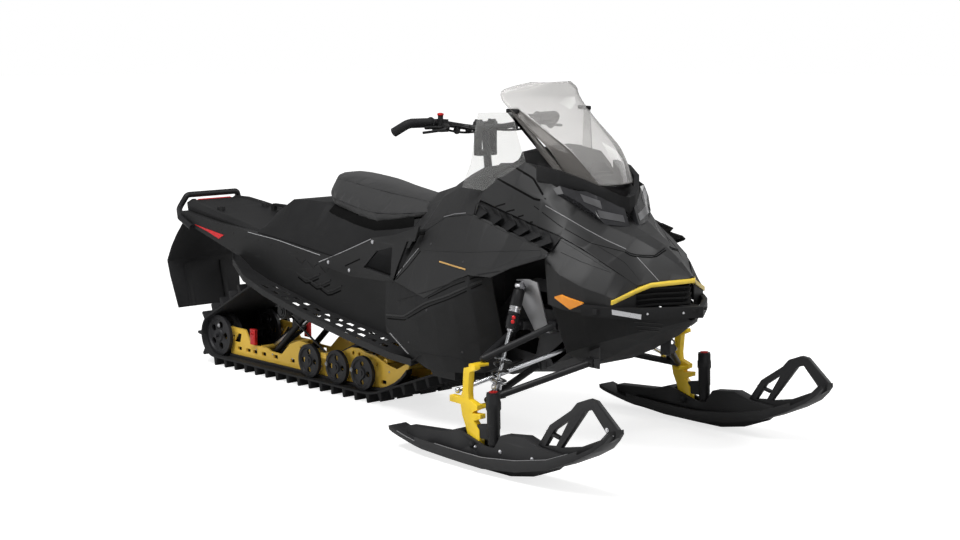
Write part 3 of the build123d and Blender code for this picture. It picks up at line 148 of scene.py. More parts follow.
def scuffGroup():  # thin scratches and rubbed patches
    group, entry, result = newGroup(
        "scuff", [("Scale", "NodeSocketFloat", 30.0), ("Cover", "NodeSocketFloat", 0.2)],
        [("Mask", "NodeSocketFloat")])
    link = group.links.new
    place = addNode(group, "ShaderNodeTexCoord")
    stretch = addNode(group, "ShaderNodeMapping", Scale=(0.25, 1.0, 2.2), Rotation=(0.3, 0.5, 0.2))
    link(place.outputs["Object"], stretch.inputs["Vector"])
    lines = addNode(group, "ShaderNodeTexNoise", Detail=9.0, Roughness=0.75, Distortion=0.6)
    link(stretch.outputs["Vector"], lines.inputs["Vector"])
    link(entry.outputs["Scale"], lines.inputs["Scale"])
    edge = addNode(group, "ShaderNodeMapRange")
    edge.inputs["From Min"].default_value = 0.60
    edge.inputs["From Max"].default_value = 0.68
    link(lines.outputs["Fac"], edge.inputs["Value"])
    share = addNode(group, "ShaderNodeMath", operation="MULTIPLY")
    link(edge.outputs["Result"], share.inputs[0])
    link(entry.outputs["Cover"], share.inputs[1])
    link(share.outputs[0], result.inputs["Mask"])
    return group


mottle, grain, scuff = mottleGroup(), grainGroup(), scuffGroup()


plainLook = {"patch": 5.0, "amount": 0.35, "spread": 0.08, "scuffScale": 22.0, "cells": 500.0, "depth": 0.12,
             "ripple": 0.03, "metal": 0.0, "coat": 0.0, "coatRough": 0.12, "clear": 0.0, "ior": 1.45, "sheen": 0.0,
             "shine": 0.3}
shaderSockets = {"Metallic": "metal", "Coat Weight": "coat", "Coat Roughness": "coatRough",
                 "Transmission Weight": "clear", "IOR": "ior", "Sheen Weight": "sheen", "Specular IOR Level": "shine"}


def material(name, look):
    made = bpy.data.materials.new(name)
    made.use_nodes = True
    tree = made.node_tree
    shader = tree.nodes["Principled BSDF"]
    look = {**plainLook, "second": [min(1, c * 1.5 + 0.01) for c in look["color"]], **look}
    tone = addNode(tree, "ShaderNodeGroup", node_tree=mottle)
    for key, value in (("Color", (*look["color"], 1)), ("Second", (*look["second"], 1)), ("Scale", look["patch"]),
                       ("Amount", look["amount"]), ("Rough", look["rough"]), ("Rough spread", look["spread"])):
        tone.inputs[key].default_value = value
    color = tone.outputs["Color"]
    if "scuffs" in look:
        marks = addNode(tree, "ShaderNodeGroup", node_tree=scuff)
        marks.inputs["Scale"].default_value = look["scuffScale"]
        marks.inputs["Cover"].default_value = look["scuffs"]
        rubbed = addNode(tree, "ShaderNodeMix", data_type="RGBA")
        rubbed.inputs["B"].default_value = (*look["worn"], 1)
        tree.links.new(marks.outputs["Mask"], rubbed.inputs["Factor"])
        tree.links.new(color, rubbed.inputs["A"])
        color = rubbed.outputs["Result"]
    relief = addNode(tree, "ShaderNodeGroup", node_tree=grain)
    for key, value in (("Cell scale", look["cells"]), ("Depth", look["depth"]), ("Ripple", look["ripple"])):
        relief.inputs[key].default_value = value
    tree.links.new(color, shader.inputs["Base Color"])
    tree.links.new(tone.outputs["Roughness"], shader.inputs["Roughness"])
    tree.links.new(relief.outputs["Normal"], shader.inputs["Normal"])
    for socket, key in shaderSockets.items():
        shader.inputs[socket].default_value = look[key]
    return made


finishes = {
    "belt_rubber": {"color": (0.012, 0.012, 0.013), "rough": 0.62, "cells": 260, "depth": 0.35, "scuffs": 0.35,
                    "worn": (0.05, 0.05, 0.05)},
    "grip_rubber": {"color": (0.010, 0.010, 0.011), "rough": 0.7, "cells": 900, "depth": 0.5},
    "wheel_plastic": {"color": (0.018, 0.018, 0.02), "rough": 0.45, "cells": 500, "scuffs": 0.3,
                      "worn": (0.09, 0.09, 0.095)},
    "shoe_plastic": {"color": (0.02, 0.02, 0.021), "rough": 0.5, "scuffs": 0.4, "worn": (0.08, 0.08, 0.08)},
    "rail_yellow": {"color": (0.88, 0.56, 0.07), "second": (0.92, 0.62, 0.11), "rough": 0.4, "coat": 0.2,
                    "scuffs": 0.22, "worn": (0.42, 0.28, 0.12), "cells": 700, "depth": 0.06},
    "spindle_yellow": {"color": (0.92, 0.62, 0.02), "second": (0.96, 0.68, 0.04), "rough": 0.38, "coat": 0.25,
                       "scuffs": 0.2, "worn": (0.4, 0.3, 0.15), "cells": 700, "depth": 0.08},
    "trim_yellow": {"color": (0.92, 0.66, 0.07), "second": (0.94, 0.70, 0.11), "rough": 0.28, "coat": 0.5,
                    "cells": 900, "depth": 0.04},
    "axle_steel": {"color": (0.42, 0.42, 0.43), "rough": 0.32, "metal": 1.0, "scuffs": 0.3, "worn": (0.2, 0.2, 0.2)},
    "tube_black": {"color": (0.011, 0.011, 0.012), "rough": 0.42, "cells": 800, "depth": 0.12, "scuffs": 0.15,
                   "worn": (0.10, 0.10, 0.10)},
    "shock_steel": {"color": (0.55, 0.56, 0.58), "rough": 0.24, "metal": 1.0},
    "spring_black": {"color": (0.012, 0.012, 0.013), "rough": 0.38, "coat": 0.3},
    "tunnel_black": {"color": (0.013, 0.013, 0.0135), "rough": 0.5, "cells": 650, "depth": 0.10, "scuffs": 0.22,
                     "worn": (0.10, 0.10, 0.10)},
    "frame_grey": {"color": (0.04, 0.04, 0.042), "rough": 0.5, "cells": 500},
    "tower_aluminium": {"color": (0.36, 0.36, 0.37), "rough": 0.42, "metal": 0.85, "cells": 420, "depth": 0.2},
    "moulded_black": {"color": (0.010, 0.010, 0.0105), "rough": 0.55, "shine": 0.22, "cells": 620,
                      "depth": 0.22, "amount": 0.5},
    "panel_grey": {"color": (0.019, 0.019, 0.0195), "second": (0.023, 0.023, 0.0235), "rough": 0.46, "shine": 0.32,
                   "cells": 900, "depth": 0.05, "ripple": 0.015, "amount": 0.5},
    "seat_vinyl": {"color": (0.025, 0.025, 0.0255), "second": (0.033, 0.033, 0.034), "rough": 0.55, "cells": 360,
                   "depth": 0.30, "sheen": 0.15},
    "lamp_red": {"color": (0.62, 0.01, 0.015), "rough": 0.18, "coat": 0.6, "cells": 220, "depth": 0.2},
    "lamp_orange": {"color": (0.90, 0.30, 0.02), "rough": 0.2, "coat": 0.6, "cells": 220, "depth": 0.2},
    "engine_iron": {"color": (0.06, 0.06, 0.062), "rough": 0.6, "metal": 0.4},
    "ski_plastic": {"color": (0.017, 0.017, 0.018), "rough": 0.46, "cells": 420, "depth": 0.14, "scuffs": 0.25,
                    "worn": (0.07, 0.07, 0.07)},
    "screen_smoke": {"color": (0.66, 0.65, 0.64), "second": (0.60, 0.59, 0.58), "rough": 0.04, "spread": 0.02,
                     "clear": 0.76, "ior": 1.2, "depth": 0.0, "ripple": 0.0},
    "screen_clear": {"color": (0.80, 0.80, 0.79), "second": (0.74, 0.74, 0.73), "rough": 0.05, "spread": 0.03,
                     "clear": 0.93, "ior": 1.15, "depth": 0.0, "ripple": 0.0},
    "lamp_glass": {"color": (0.022, 0.022, 0.024), "second": (0.05, 0.05, 0.054), "rough": 0.14, "coat": 0.6,
                   "patch": 14, "amount": 0.5, "cells": 120, "depth": 0.10},
}
trimPaints = {  # the material's name, the slot it counts as, and its look
    # near-black matt paint: real shut lines and slots, and painted shade in creases, under lips and slats, under the
    # seat and inside the vents
    "gapAndShade": ("shut_line_and_painted_shade", "moulded_black", {"color": (0.002, 0.002, 0.002), "rough": 0.9, "shine": 0.1}),
    "smokeBand": ("smoked_band", "screen_smoke", {"color": (0.20, 0.19, 0.18), "rough": 0.12, "clear": 0.6,
                                                  "ior": 1.2, "depth": 0.0, "ripple": 0.0}),
    "silver": ("lamp_reflector", "lamp_glass", {"color": (0.15, 0.15, 0.155), "rough": 0.3, "metal": 0.6,
                                                "cells": 90, "depth": 0.2}),
    # plated steel on collars, eyes, bolts and the tow plate; the same paint on the edge strips of the side panels,
    # tunnel and braces is a painted highlight
    "bright": ("plated_steel_and_painted_highlight", "shock_steel", {"color": (0.62, 0.62, 0.64), "rough": 0.26, "metal": 1.0,
                                               "depth": 0.03}),
    "redPaint": ("red_anodised", "lamp_red", {"color": (0.55, 0.012, 0.012), "rough": 0.3, "metal": 0.4,
                                              "coat": 0.4}),
    # pale strips: painted highlights along lit edges and creases of the hood, pods and skis
    "paleHighlight": ("pale_painted_highlight", "panel_grey", {"color": (0.22, 0.22, 0.225), "rough": 0.35, "coat": 0.3}),
    "goldLine": ("gold_trim", "trim_yellow", {"color": (0.50, 0.30, 0.10), "rough": 0.35, "coat": 0.3}),
    "piping": ("seat_piping", "seat_vinyl", {"color": (0.03, 0.03, 0.031), "rough": 0.5, "cells": 900}),
}
paints = {slot: material(slot, look) for slot, look in finishes.items()}
paints.update({key: material(name, look) for key, (name, slot, look) in trimPaints.items()})
slotOf = {part["node"]: part["material_slot"] for part in frame["record"]["subparts"]}

softEdges = {  # bevel width in mm where a moulded or bent edge shows
    "hood": 1.6, "nose_sides": 1.6, "side_panels": 1.6, "side_pods": 1.6, "console": 1.6, "belly_pan": 1.4,
    "front_bumper": 4.0, "nose_bar": 3.0, "rear_deck": 4.0, "seat_base": 7.0, "visor": 3.0, "side_braces": 2.0,
    "snow_flap": 2.0, "instrument_hood": 8.0, "ski_right": 3.0, "ski_left": 3.0, "ski_handle_right": 3.0,
    "ski_handle_left": 3.0, "spindle_right": 2.5, "spindle_left": 2.5, "slide_rails": 1.2, "shock_towers": 1.5,
    "controls": 4.0, "track": 1.8, "vents": 1.2, "windshield_frame": 2.0, "side_markers": 1.5, "tail_lamp": 2.0,
    "slide_shoes": 1.5, "front_frame": 1.0,
}
smoothAngles = {"side_pods": 44, "nose_sides": 40, "seat_base": 50, "console": 40, "instrument_hood": 50,
                "side_panels": 33, "hood": 28, "belly_pan": 34, "windshield": 50}
for name, node in nodes.items():
    turnAngle = math.radians(smoothAngles.get(name, 24))
    node.material_slots[0].material = paints["smokeBand" if name == "windshield_frame" else slotOf[name]]
    node.data.polygons.foreach_set("use_smooth", [True] * len(node.data.polygons))
    node.data.set_sharp_from_angle(angle=turnAngle)
    if name in softEdges:
        joined = node.modifiers.new("joined", "WELD")
        joined.merge_threshold = 0.02 * mm
        edge = node.modifiers.new("softEdge", "BEVEL")
        edge.width = softEdges[name] * mm
        edge.segments = 2
        edge.limit_method = "ANGLE"
        edge.angle_limit = turnAngle
        edge.harden_normals = True
print("materials made")


# shared shapes
def surfaceOf(*names):
    points, faces = [], []
    for name in names:
        start = len(points)
        points += [v.co.copy() for v in nodes[name].data.vertices]
        faces += [[start + i for i in f.vertices] for f in nodes[name].data.polygons]
    return BVHTree.FromPolygons(points, faces)


surfaces = {}


def cast(names, start, toward):  # first point and normal of these nodes from start
    if names not in surfaces:
        surfaces[names] = surfaceOf(*names)
    spot, normal, index, distance = surfaces[names].ray_cast(Vector(start), Vector(toward).normalized())
    return (spot, normal) if spot else None


def sightLine(px, py):  # direction from the camera through a pixel of the frame
    width, height = view["frame"]
    focal = view["lens"] / 36.0 * width
    line = Vector(((px - width / 2) / focal, -(py - height / 2) / focal, -1))
    return camera.rotation_euler.to_matrix() @ line


def onSide(names, x, z, sign):  # from outside, square to the centre plane; x, z in mm
    return cast(names, (x * mm, sign * 0.9, z * mm), (0, -sign, 0))


def finishPiece(piece, paint, body, smoothAngle=30):
    piece.data.materials.append(paints[paint])
    if piece.type == "MESH":
        piece.data.polygons.foreach_set("use_smooth", [True] * len(piece.data.polygons))
        piece.data.set_sharp_from_angle(angle=math.radians(smoothAngle))
    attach(piece, body)
    return piece


def meshPiece(name, points, faces, paint, body, smoothAngle=30):
    data = bpy.data.meshes.new(name)
    data.from_pydata([tuple(p) for p in points], [], faces)
    data.update()
    piece = bpy.data.objects.new(name, data)
    bpy.context.scene.collection.objects.link(piece)
    return finishPiece(piece, paint, body, smoothAngle)


def shapePiece(name, shape, paint, body, smoothAngle=30):  # from a bmesh
    data = bpy.data.meshes.new(name)
    shape.to_mesh(data)
    shape.free()
    piece = bpy.data.objects.new(name, data)
    bpy.context.scene.collection.objects.link(piece)
    return finishPiece(piece, paint, body, smoothAngle)


def sided(point, side):  # the same place on one side; side is -1 or 1
    return Vector((point[0], side * point[1], point[2]))


def facing(spot, normal):  # a place whose Z looks along the normal
    return Matrix.Translation(spot) @ Vector(normal).to_track_quat("Z", "Y").to_matrix().to_4x4()


def lathe(shape, place, profile, steps=20):  # profile of (radius, height) round the place's Z, in mm
    rings = []
    for radius, height in profile:
        ring = []
        for step in range(steps):
            turn = 2 * math.pi * step / steps
            spot = Vector((radius * math.cos(turn), radius * math.sin(turn), height)) * mm
            ring.append(shape.verts.new(place @ spot))
        rings.append(ring)
    for low, high in zip(rings, rings[1:]):
        for step in range(steps):
            after = (step + 1) % steps
            shape.faces.new((low[step], low[after], high[after], high[step]))
    shape.faces.new(rings[0][::-1])
    shape.faces.new(rings[-1])


def heads(name, spots, radius, height, paint, body, hexagon=False):  # bolt or rivet heads at (spot, normal)
    shape = bmesh.new()
    for spot, normal in spots:
        place = facing(spot, normal)
        if hexagon:
            washer = radius * 1.35
            lathe(shape, place, [(washer, -0.5), (washer, height * 0.25), (radius * 1.2, height * 0.3)], 16)
            lathe(shape, place, [(radius, height * 0.25), (radius, height * 0.9), (radius * 0.85, height)], 6)
        else:
            lathe(shape, place, [(radius, -0.5), (radius, height * 0.35), (radius * 0.8, height * 0.8),
                                 (radius * 0.35, height)], 12)
    return shapePiece(name, shape, paint, body, 35)


def tube(name, points, radius, paint, body, closed=False):  # points in mm
    line = bpy.data.curves.new(name, "CURVE")
    line.dimensions = "3D"
    line.bevel_depth = radius * mm
    line.bevel_resolution = 4
    line.use_fill_caps = True
    line.resolution_u = 6
    spline = line.splines.new("NURBS")
    spline.points.add(len(points) - 1)
    for point, (x, y, z) in zip(spline.points, points):
        point.co = (x * mm, y * mm, z * mm, 1)
    spline.use_cyclic_u = closed
    spline.order_u = 3
    spline.use_endpoint_u = not closed
    piece = bpy.data.objects.new(name, line)
    bpy.context.scene.collection.objects.link(piece)
    return finishPiece(piece, paint, body)


def onRight(names, x, z):
    return onSide(names, x, z, -1)


def onTop(names, x, y):  # from above; x, y in mm
    return cast(names, (x * mm, y * mm, 2.0), (0, 0, -1))


def seen(names, px, py):  # the point of these nodes that shows at a pixel of the frame
    return cast(names, view["place"], sightLine(px, py))


def spread(stops, count):  # evenly spaced points along a line of stops
    stops = [Vector(stop) for stop in stops]
    lengths = [(b - a).length for a, b in zip(stops, stops[1:])]
    total = sum(lengths)
    result = []
    for k in range(count + 1):
        left = total * k / count
        for a, b, length in zip(stops, stops[1:], lengths):
            if left <= length + 1e-6:
                result.append(a.lerp(b, min(1, left / length)))
                break
            left -= length
    return result


def flip(spots):  # the same points and normals on the other side
    return [(Vector((p.x, -p.y, p.z)), Vector((n.x, -n.y, n.z))) for p, n in spots]


# a low strip laid along points with normals; width, lift and depth in mm
def strip(name, spots, width, lift, paint, body, sunk=0.6):
    points, faces = [], []
    for k, (spot, normal) in enumerate(spots):
        before, after = spots[max(0, k - 1)][0], spots[min(len(spots) - 1, k + 1)][0]
        across = (after - before).cross(normal).normalized() * width * mm / 2
        top, low = normal * lift * mm, -normal * sunk * mm
        points += [spot + across + low, spot + across * 0.8 + top, spot - across * 0.8 + top, spot - across + low]
    for k in range(len(spots) - 1):
        for side in range(4):
            after = (side + 1) % 4
            faces.append((4 * k + side, 4 * k + after, 4 * k + 4 + after, 4 * k + 4 + side))
    last = 4 * (len(spots) - 1)
    faces += [(3, 2, 1, 0), (last, last + 1, last + 2, last + 3)]
    return meshPiece(name, points, faces, paint, body, 40)


longestStep = 0.12  # metres; a farther hit lies on another piece


# strips along lines of stops, each stop a pixel of the frame or a place on a side, on both sides of the machine
def lines(name, names, table, width, lift, paint, body, place=seen, step=6.0):
    bodies = (body, body) if isinstance(body, str) else body
    count = 0
    for stops in table:
        length = sum(math.dist(a, b) for a, b in zip(stops, stops[1:]))
        spots = []
        for stop in spread([(*stop, 0) for stop in stops], max(2, int(length / step) + 1)):
            hit = place(names, stop.x, stop.y)
            if hit and (not spots or (hit[0] - spots[-1][0]).length < longestStep):
                spots.append(hit)
        if len(spots) < 2:
            print("no surface under", name, stops)
            continue
        for found, rides in zip((spots, flip(spots)), bodies):
            count += 1
            strip(f"{name}.{count:02d}", found, width, lift, paint, rides)


# a thin sheet over the surface seen between four pixels of the frame, on both sides of the machine
def plate(name, names, corners, lift, paint, steps=(10, 4), sunk=1.0):
    a, b, c, d = [Vector((*corner, 0)) for corner in corners]
    grid, row = [], steps[1] + 1
    for i in range(steps[0] + 1):
        for j in range(row):
            s, t = i / steps[0], j / steps[1]
            spot = a.lerp(b, s).lerp(d.lerp(c, s), t)
            hit = seen(names, spot.x, spot.y)
            if not hit:
                print("no surface under", name, tuple(spot))
                return
            grid.append(hit)
    faces = []
    for i in range(steps[0]):
        for j in range(steps[1]):
            k = i * row + j
            quad = (k, k + row, k + row + 1, k + 1)
            faces.append(tuple(2 * q for q in quad))
            faces.append(tuple(2 * q + 1 for q in quad[::-1]))
    rim = [i * row for i in range(steps[0] + 1)]
    rim += [steps[0] * row + j for j in range(1, row)]
    rim += [i * row + steps[1] for i in range(steps[0] - 1, -1, -1)]
    rim += [j for j in range(steps[1] - 1, 0, -1)]
    for k, after in zip(rim, rim[1:] + rim[:1]):
        faces.append((2 * after, 2 * k, 2 * k + 1, 2 * after + 1))
    for number, found in enumerate((grid, flip(grid))):
        points = []
        for spot, normal in found:
            points += [spot + normal * lift * mm, spot - normal * sunk * mm]
        piece = meshPiece(f"{name}.{number:02d}", points, faces, paint, "chassis", 40)
        turned = bmesh.new()
        turned.from_mesh(piece.data)
        bmesh.ops.recalc_face_normals(turned, faces=turned.faces)
        turned.to_mesh(piece.data)
        turned.free()


def block(shape, corner, opposite, edge):  # a box with rounded edges between two corners; mm
    a = Vector([min(pair) for pair in zip(corner, opposite)]) * mm
    b = Vector([max(pair) for pair in zip(corner, opposite)]) * mm
    place = Matrix.Translation((a + b) / 2) @ Matrix.Diagonal((*(b - a), 1))
    made = bmesh.ops.create_cube(shape, size=1, matrix=place)["verts"]
    edges = list({line for vert in made for line in vert.link_edges})
    bmesh.ops.bevel(shape, geom=edges, offset=edge * mm, segments=2, profile=0.6, affect="EDGES")


def coil(name, start, end, radius, wire, turns, paint, body, steps=18):  # a wound spring; mm
    a, b = Vector(start), Vector(end)
    turnPlace = facing(a, b - a)
    length = (b - a).length
    points = []
    for k in range(turns * steps + 1):
        turn = 2 * math.pi * k / steps
        rise = min(max((k / (turns * steps) * (turns + 1.2) - 0.6) / turns, 0.0), 1.0)
        points.append(turnPlace @ Vector((radius * math.cos(turn), radius * math.sin(turn), rise * length)))
    return tube(name, points, wire, paint, body)


# studio
studio = {"floor": {"color": (0.62, 0.62, 0.615), "second": (0.82, 0.82, 0.81), "patch": 0.6, "rough": 0.8,
                    "radius": 40.0, "corners": 96, "low": -0.0005},
          "glow": {"near": 0.74, "far": 0.98, "from": 2.0, "to": 8.0}, "mirrored": 0.12,
          "sky": {"light": 0.22, "shown": 1.0}, "aim": (0, 0, 0.5),
          "lamps": (("key", (0.9, -3.0, 6.0), 3.4, 400), ("front", (6.6, -2.2, 3.2), 3.0, 46),
                    ("left", (1.6, 5.6, 4.2), 3.4, 120), ("low", (-3.4, -5.4, 1.1), 2.4, 45))}


def backgroundShare(tree, path):  # 1 to the camera and through glass, less in a mirror
    direct = addNode(tree, "ShaderNodeMath", operation="MAXIMUM")
    tree.links.new(path.outputs["Is Camera Ray"], direct.inputs[0])
    tree.links.new(path.outputs["Is Transmission Ray"], direct.inputs[1])
    mirrored = addNode(tree, "ShaderNodeMath", operation="MULTIPLY")
    mirrored.inputs[1].default_value = studio["mirrored"]
    tree.links.new(path.outputs["Is Glossy Ray"], mirrored.inputs[0])
    both = addNode(tree, "ShaderNodeMath", operation="MAXIMUM")
    tree.links.new(direct.outputs[0], both.inputs[0])
    tree.links.new(mirrored.outputs[0], both.inputs[1])
    return both


def paperPaint():  # white where it is looked at, a plain matt floor to the light
    look, glow = studio["floor"], studio["glow"]
    paint = bpy.data.materials.new("paper")
    paint.use_nodes = True
    tree = paint.node_tree
    shader = tree.nodes["Principled BSDF"]
    tone = addNode(tree, "ShaderNodeGroup", node_tree=mottle)
    for key, value in (("Color", (*look["color"], 1)), ("Second", (*look["second"], 1)), ("Scale", look["patch"])):
        tone.inputs[key].default_value = value
    tree.links.new(tone.outputs["Color"], shader.inputs["Base Color"])
    shader.inputs["Roughness"].default_value = look["rough"]
    share = backgroundShare(tree, addNode(tree, "ShaderNodeLightPath"))
    place = addNode(tree, "ShaderNodeNewGeometry")
    away = addNode(tree, "ShaderNodeVectorMath", operation="LENGTH")
    tree.links.new(place.outputs["Position"], away.inputs[0])
    fade = addNode(tree, "ShaderNodeMapRange", interpolation_type="SMOOTHSTEP")
    for key, value in (("From Min", glow["from"]), ("From Max", glow["to"]), ("To Min", glow["near"]),
                       ("To Max", glow["far"])):
        fade.inputs[key].default_value = value
    tree.links.new(away.outputs["Value"], fade.inputs["Value"])
    level = addNode(tree, "ShaderNodeMath", operation="MULTIPLY")
    tree.links.new(share.outputs[0], level.inputs[0])
    tree.links.new(fade.outputs["Result"], level.inputs[1])
    tree.links.new(level.outputs[0], shader.inputs["Emission Strength"])
    shader.inputs["Emission Color"].default_value = (1, 1, 1, 1)
    return paint


def makeFloor():
    look = studio["floor"]
    turns = [2 * math.pi * k / look["corners"] for k in range(look["corners"])]
    data = bpy.data.meshes.new("floor")
    data.from_pydata([(look["radius"] * math.cos(turn), look["radius"] * math.sin(turn), look["low"])
                      for turn in turns], [], [tuple(range(look["corners"]))])
    data.materials.append(paperPaint())
    floor = bpy.data.objects.new("floor", data)
    bpy.context.scene.collection.objects.link(floor)


def makeLights():
    for name, place, size, power in studio["lamps"]:
        lamp = bpy.data.lights.new(name, "AREA")
        lamp.energy = power
        lamp.size = size
        holder = bpy.data.objects.new(name, lamp)
        holder.location = place
        holder.rotation_euler = (Vector(studio["aim"]) - Vector(place)).to_track_quat("-Z", "Y").to_euler()
        holder.visible_camera = False
        bpy.context.scene.collection.objects.link(holder)
    world = bpy.data.worlds.new("studio")
    world.use_nodes = True
    bpy.context.scene.world = world
    tree = world.node_tree
    sky = tree.nodes["Background"]
    share = backgroundShare(tree, addNode(tree, "ShaderNodeLightPath"))
    strength = addNode(tree, "ShaderNodeMapRange")
    strength.inputs["To Min"].default_value = studio["sky"]["light"]
    strength.inputs["To Max"].default_value = studio["sky"]["shown"]
    tree.links.new(share.outputs[0], strength.inputs["Value"])
    tree.links.new(strength.outputs["Result"], sky.inputs["Strength"])
    sky.inputs["Color"].default_value = (1, 1, 1, 1)


makeFloor()
makeLights()
bpy.context.scene.view_settings.view_transform = "Standard"
print("studio set")


# seat: one stuffed cover of grained vinyl with piping
seatLook = {"weld": 0.0002, "shrink": 0.006, "voxel": 0.007, "softSteps": 6, "softShare": 0.5, "held": 0.03,
            "cap": 0.012, "pressure": 3.0, "frames": 20, "fill": 0.85}
clothLook = {"quality": 5, "mass": 0.3, "tension_stiffness": 25, "compression_stiffness": 25,
             "bending_stiffness": 2.0, "use_pressure": True, "uniform_pressure_force": seatLook["pressure"]}


def makeSeat():
    piece = bpy.data.objects.new("seatCover", nodes["seat"].data.copy())
    bpy.context.scene.collection.objects.link(piece)
    bpy.context.view_layer.objects.active = piece
    shape = bmesh.new()
    shape.from_mesh(piece.data)
    bmesh.ops.remove_doubles(shape, verts=shape.verts, dist=seatLook["weld"])
    shape.normal_update()
    for vert in shape.verts:
        vert.co -= vert.normal * seatLook["shrink"]
    shape.to_mesh(piece.data)
    shape.free()
    base = piece.modifiers.new("cells", "REMESH")
    base.mode = "VOXEL"
    base.voxel_size = seatLook["voxel"]
    soft = piece.modifiers.new("soft", "SMOOTH")
    soft.iterations = seatLook["softSteps"]
    soft.factor = seatLook["softShare"]
    graph = bpy.context.evaluated_depsgraph_get()
    data = bpy.data.meshes.new_from_object(piece.evaluated_get(graph))
    piece.modifiers.clear()
    piece.data = data
    start = [v.co.copy() for v in data.vertices]
    low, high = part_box("seat")
    held = piece.vertex_groups.new(name="held")
    held.add([v.index for v in data.vertices if v.co.z < low.z + seatLook["held"] or v.normal.z < -0.5], 1.0,
             "REPLACE")
    cloth = piece.modifiers.new("stuffing", "CLOTH")
    for key, value in clothLook.items():
        setattr(cloth.settings, key, value)
    cloth.settings.effector_weights.gravity = 0
    cloth.settings.vertex_group_mass = "held"
    cloth.point_cache.frame_end = seatLook["frames"]
    for number in range(1, seatLook["frames"] + 1):
        bpy.context.scene.frame_set(number)
    graph = bpy.context.evaluated_depsgraph_get()
    swollen = bpy.data.meshes.new_from_object(piece.evaluated_get(graph))
    piece.modifiers.clear()
    for vert, before in zip(swollen.vertices, start):
        move = vert.co - before
        if move.length > seatLook["cap"]:
            vert.co = before + move.normalized() * seatLook["cap"]
    piece.data = swollen
    bpy.context.scene.frame_set(1)
    return piece


seat = makeSeat()
print("seat stuffed")
finishPiece(seat, "seat_vinyl", "chassis", 60)
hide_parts("seat")
seams = {"radius": 2.0, "levels": (("low", 0.24), ("high", 0.80)), "points": 72, "narrow": 0.35, "half": 0.25,
         "inset": 0.03, "lift": 0.0004, "aside": 0.02, "first": 0.08, "away": 1.2}


def makeSeams():  # piping that follows the stuffed cover at two heights
    tree = BVHTree.FromPolygons([v.co for v in seat.data.vertices], [list(f.vertices) for f in seat.data.polygons])
    low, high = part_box("seat")
    middle = (low.x + high.x) / 2
    for label, share in seams["levels"]:
        points = []
        for k in range(seams["points"]):
            turn = 2 * math.pi * k / seams["points"]
            toward = Vector((-math.cos(turn), -math.sin(turn) * seams["narrow"], 0)).normalized()
            aim = Vector((middle - toward.x * seams["half"], -toward.y * seams["aside"], 0))
            x = aim.x - toward.x * seams["first"]
            for trial in range(3):  # the height depends on where the side is met, so it is met again
                inside = min(max(x, low.x + seams["inset"]), high.x - seams["inset"])
                under = tree.ray_cast(Vector((inside, 0, 0)), (0, 0, 1))[0]
                over = tree.ray_cast(Vector((inside, 0, 2)), (0, 0, -1))[0]
                z = under.z + (over.z - under.z) * share
                start = Vector((aim.x, aim.y, z)) - toward * seams["away"]
                spot, normal, index, distance = tree.ray_cast(start, toward)
                if spot is None:
                    break
                x = spot.x
            if spot is not None:
                points.append((spot + normal * seams["lift"]) / mm)
        tube(f"seatPiping.{label}", points, seams["radius"], "piping", "chassis", closed=True)


makeSeams()
print("seat sewn")

# springs
springs = {"front": {"top": (880, 318, 600), "foot": (896, 446, 260), "radius": 27.0, "wire": 3.4, "turns": 3,
                     "span": (0.94, 0.74), "seat": [(9, -9), (20, -9), (30, -5), (31, -4), (31, -2), (9, -2)]},
           "rear": {"centre": (-719, 296), "radius": 29, "wire": 4.6, "turns": 5, "steps": 16, "extra": 5,
                    "start": -60, "inner": 132, "width": 43, "leg": ((-452, 152, 161), (-560, 148, 208))}}
shockParts = {  # paint, then (radius, share of the length from the upper eye)
    "sleeve": ("tube_black", [(12, 0.035), (19, 0.05), (20.5, 0.06), (20.5, 0.205), (18, 0.215)]),
    "collar": ("bright", [(15, 0.21), (21, 0.215), (21, 0.235), (19, 0.24), (19, 0.25), (21, 0.255), (21, 0.27),
                          (15, 0.275)]),
    "lower": ("tube_black", [(14, 0.27), (21, 0.275), (21, 0.295), (18.5, 0.30), (18.5, 0.31), (20, 0.315),
                             (20, 0.385), (18, 0.395), (18, 0.425), (12, 0.435)]),
    "cap": ("bright", [(8, 0.43), (11, 0.432), (11, 0.452), (8, 0.456)]),
    "shaft": ("shock_steel", [(6.8, 0.44), (6.8, 0.97)]),
}
shockPatches = {"outward": (0.8, 0.6, 0), "out": 19, "shares": (0.325, 0.367), "radius": 7, "height": 3}


def makeShocks(look):
    for side in sides:
        top, foot = sided(look["top"], side), sided(look["foot"], side)
        place, length = facing(top * mm, foot - top), (foot - top).length
        for name, (paint, profile) in shockParts.items():
            shape = bmesh.new()
            lathe(shape, place, [(radius, share * length) for radius, share in profile], 32)
            shapePiece(f"shock.{name}.{side + 1}", shape, paint, "chassis", 35)
        eyes = bmesh.new()
        for spot, radius in ((top, 16), (foot, 14)):
            lathe(eyes, facing(spot * mm, (1, 0, 0)), [(8, -13), (radius, -12), (radius + 1, -6), (radius + 1, 6),
                                                       (radius, 12), (8, 13)], 28)
        shapePiece(f"shock.eyes.{side + 1}", eyes, "bright", "chassis", 35)
        axis = (foot - top).normalized()
        outward = sided(shockPatches["outward"], side)
        outward = (outward - axis * outward.dot(axis)).normalized()
        patches = [((top.lerp(foot, share) + outward * shockPatches["out"]) * mm, outward)
                   for share in shockPatches["shares"]]
        heads(f"shock.patches.{side + 1}", patches, shockPatches["radius"], shockPatches["height"], "redPaint",
              "chassis")
    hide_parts("front_shocks")


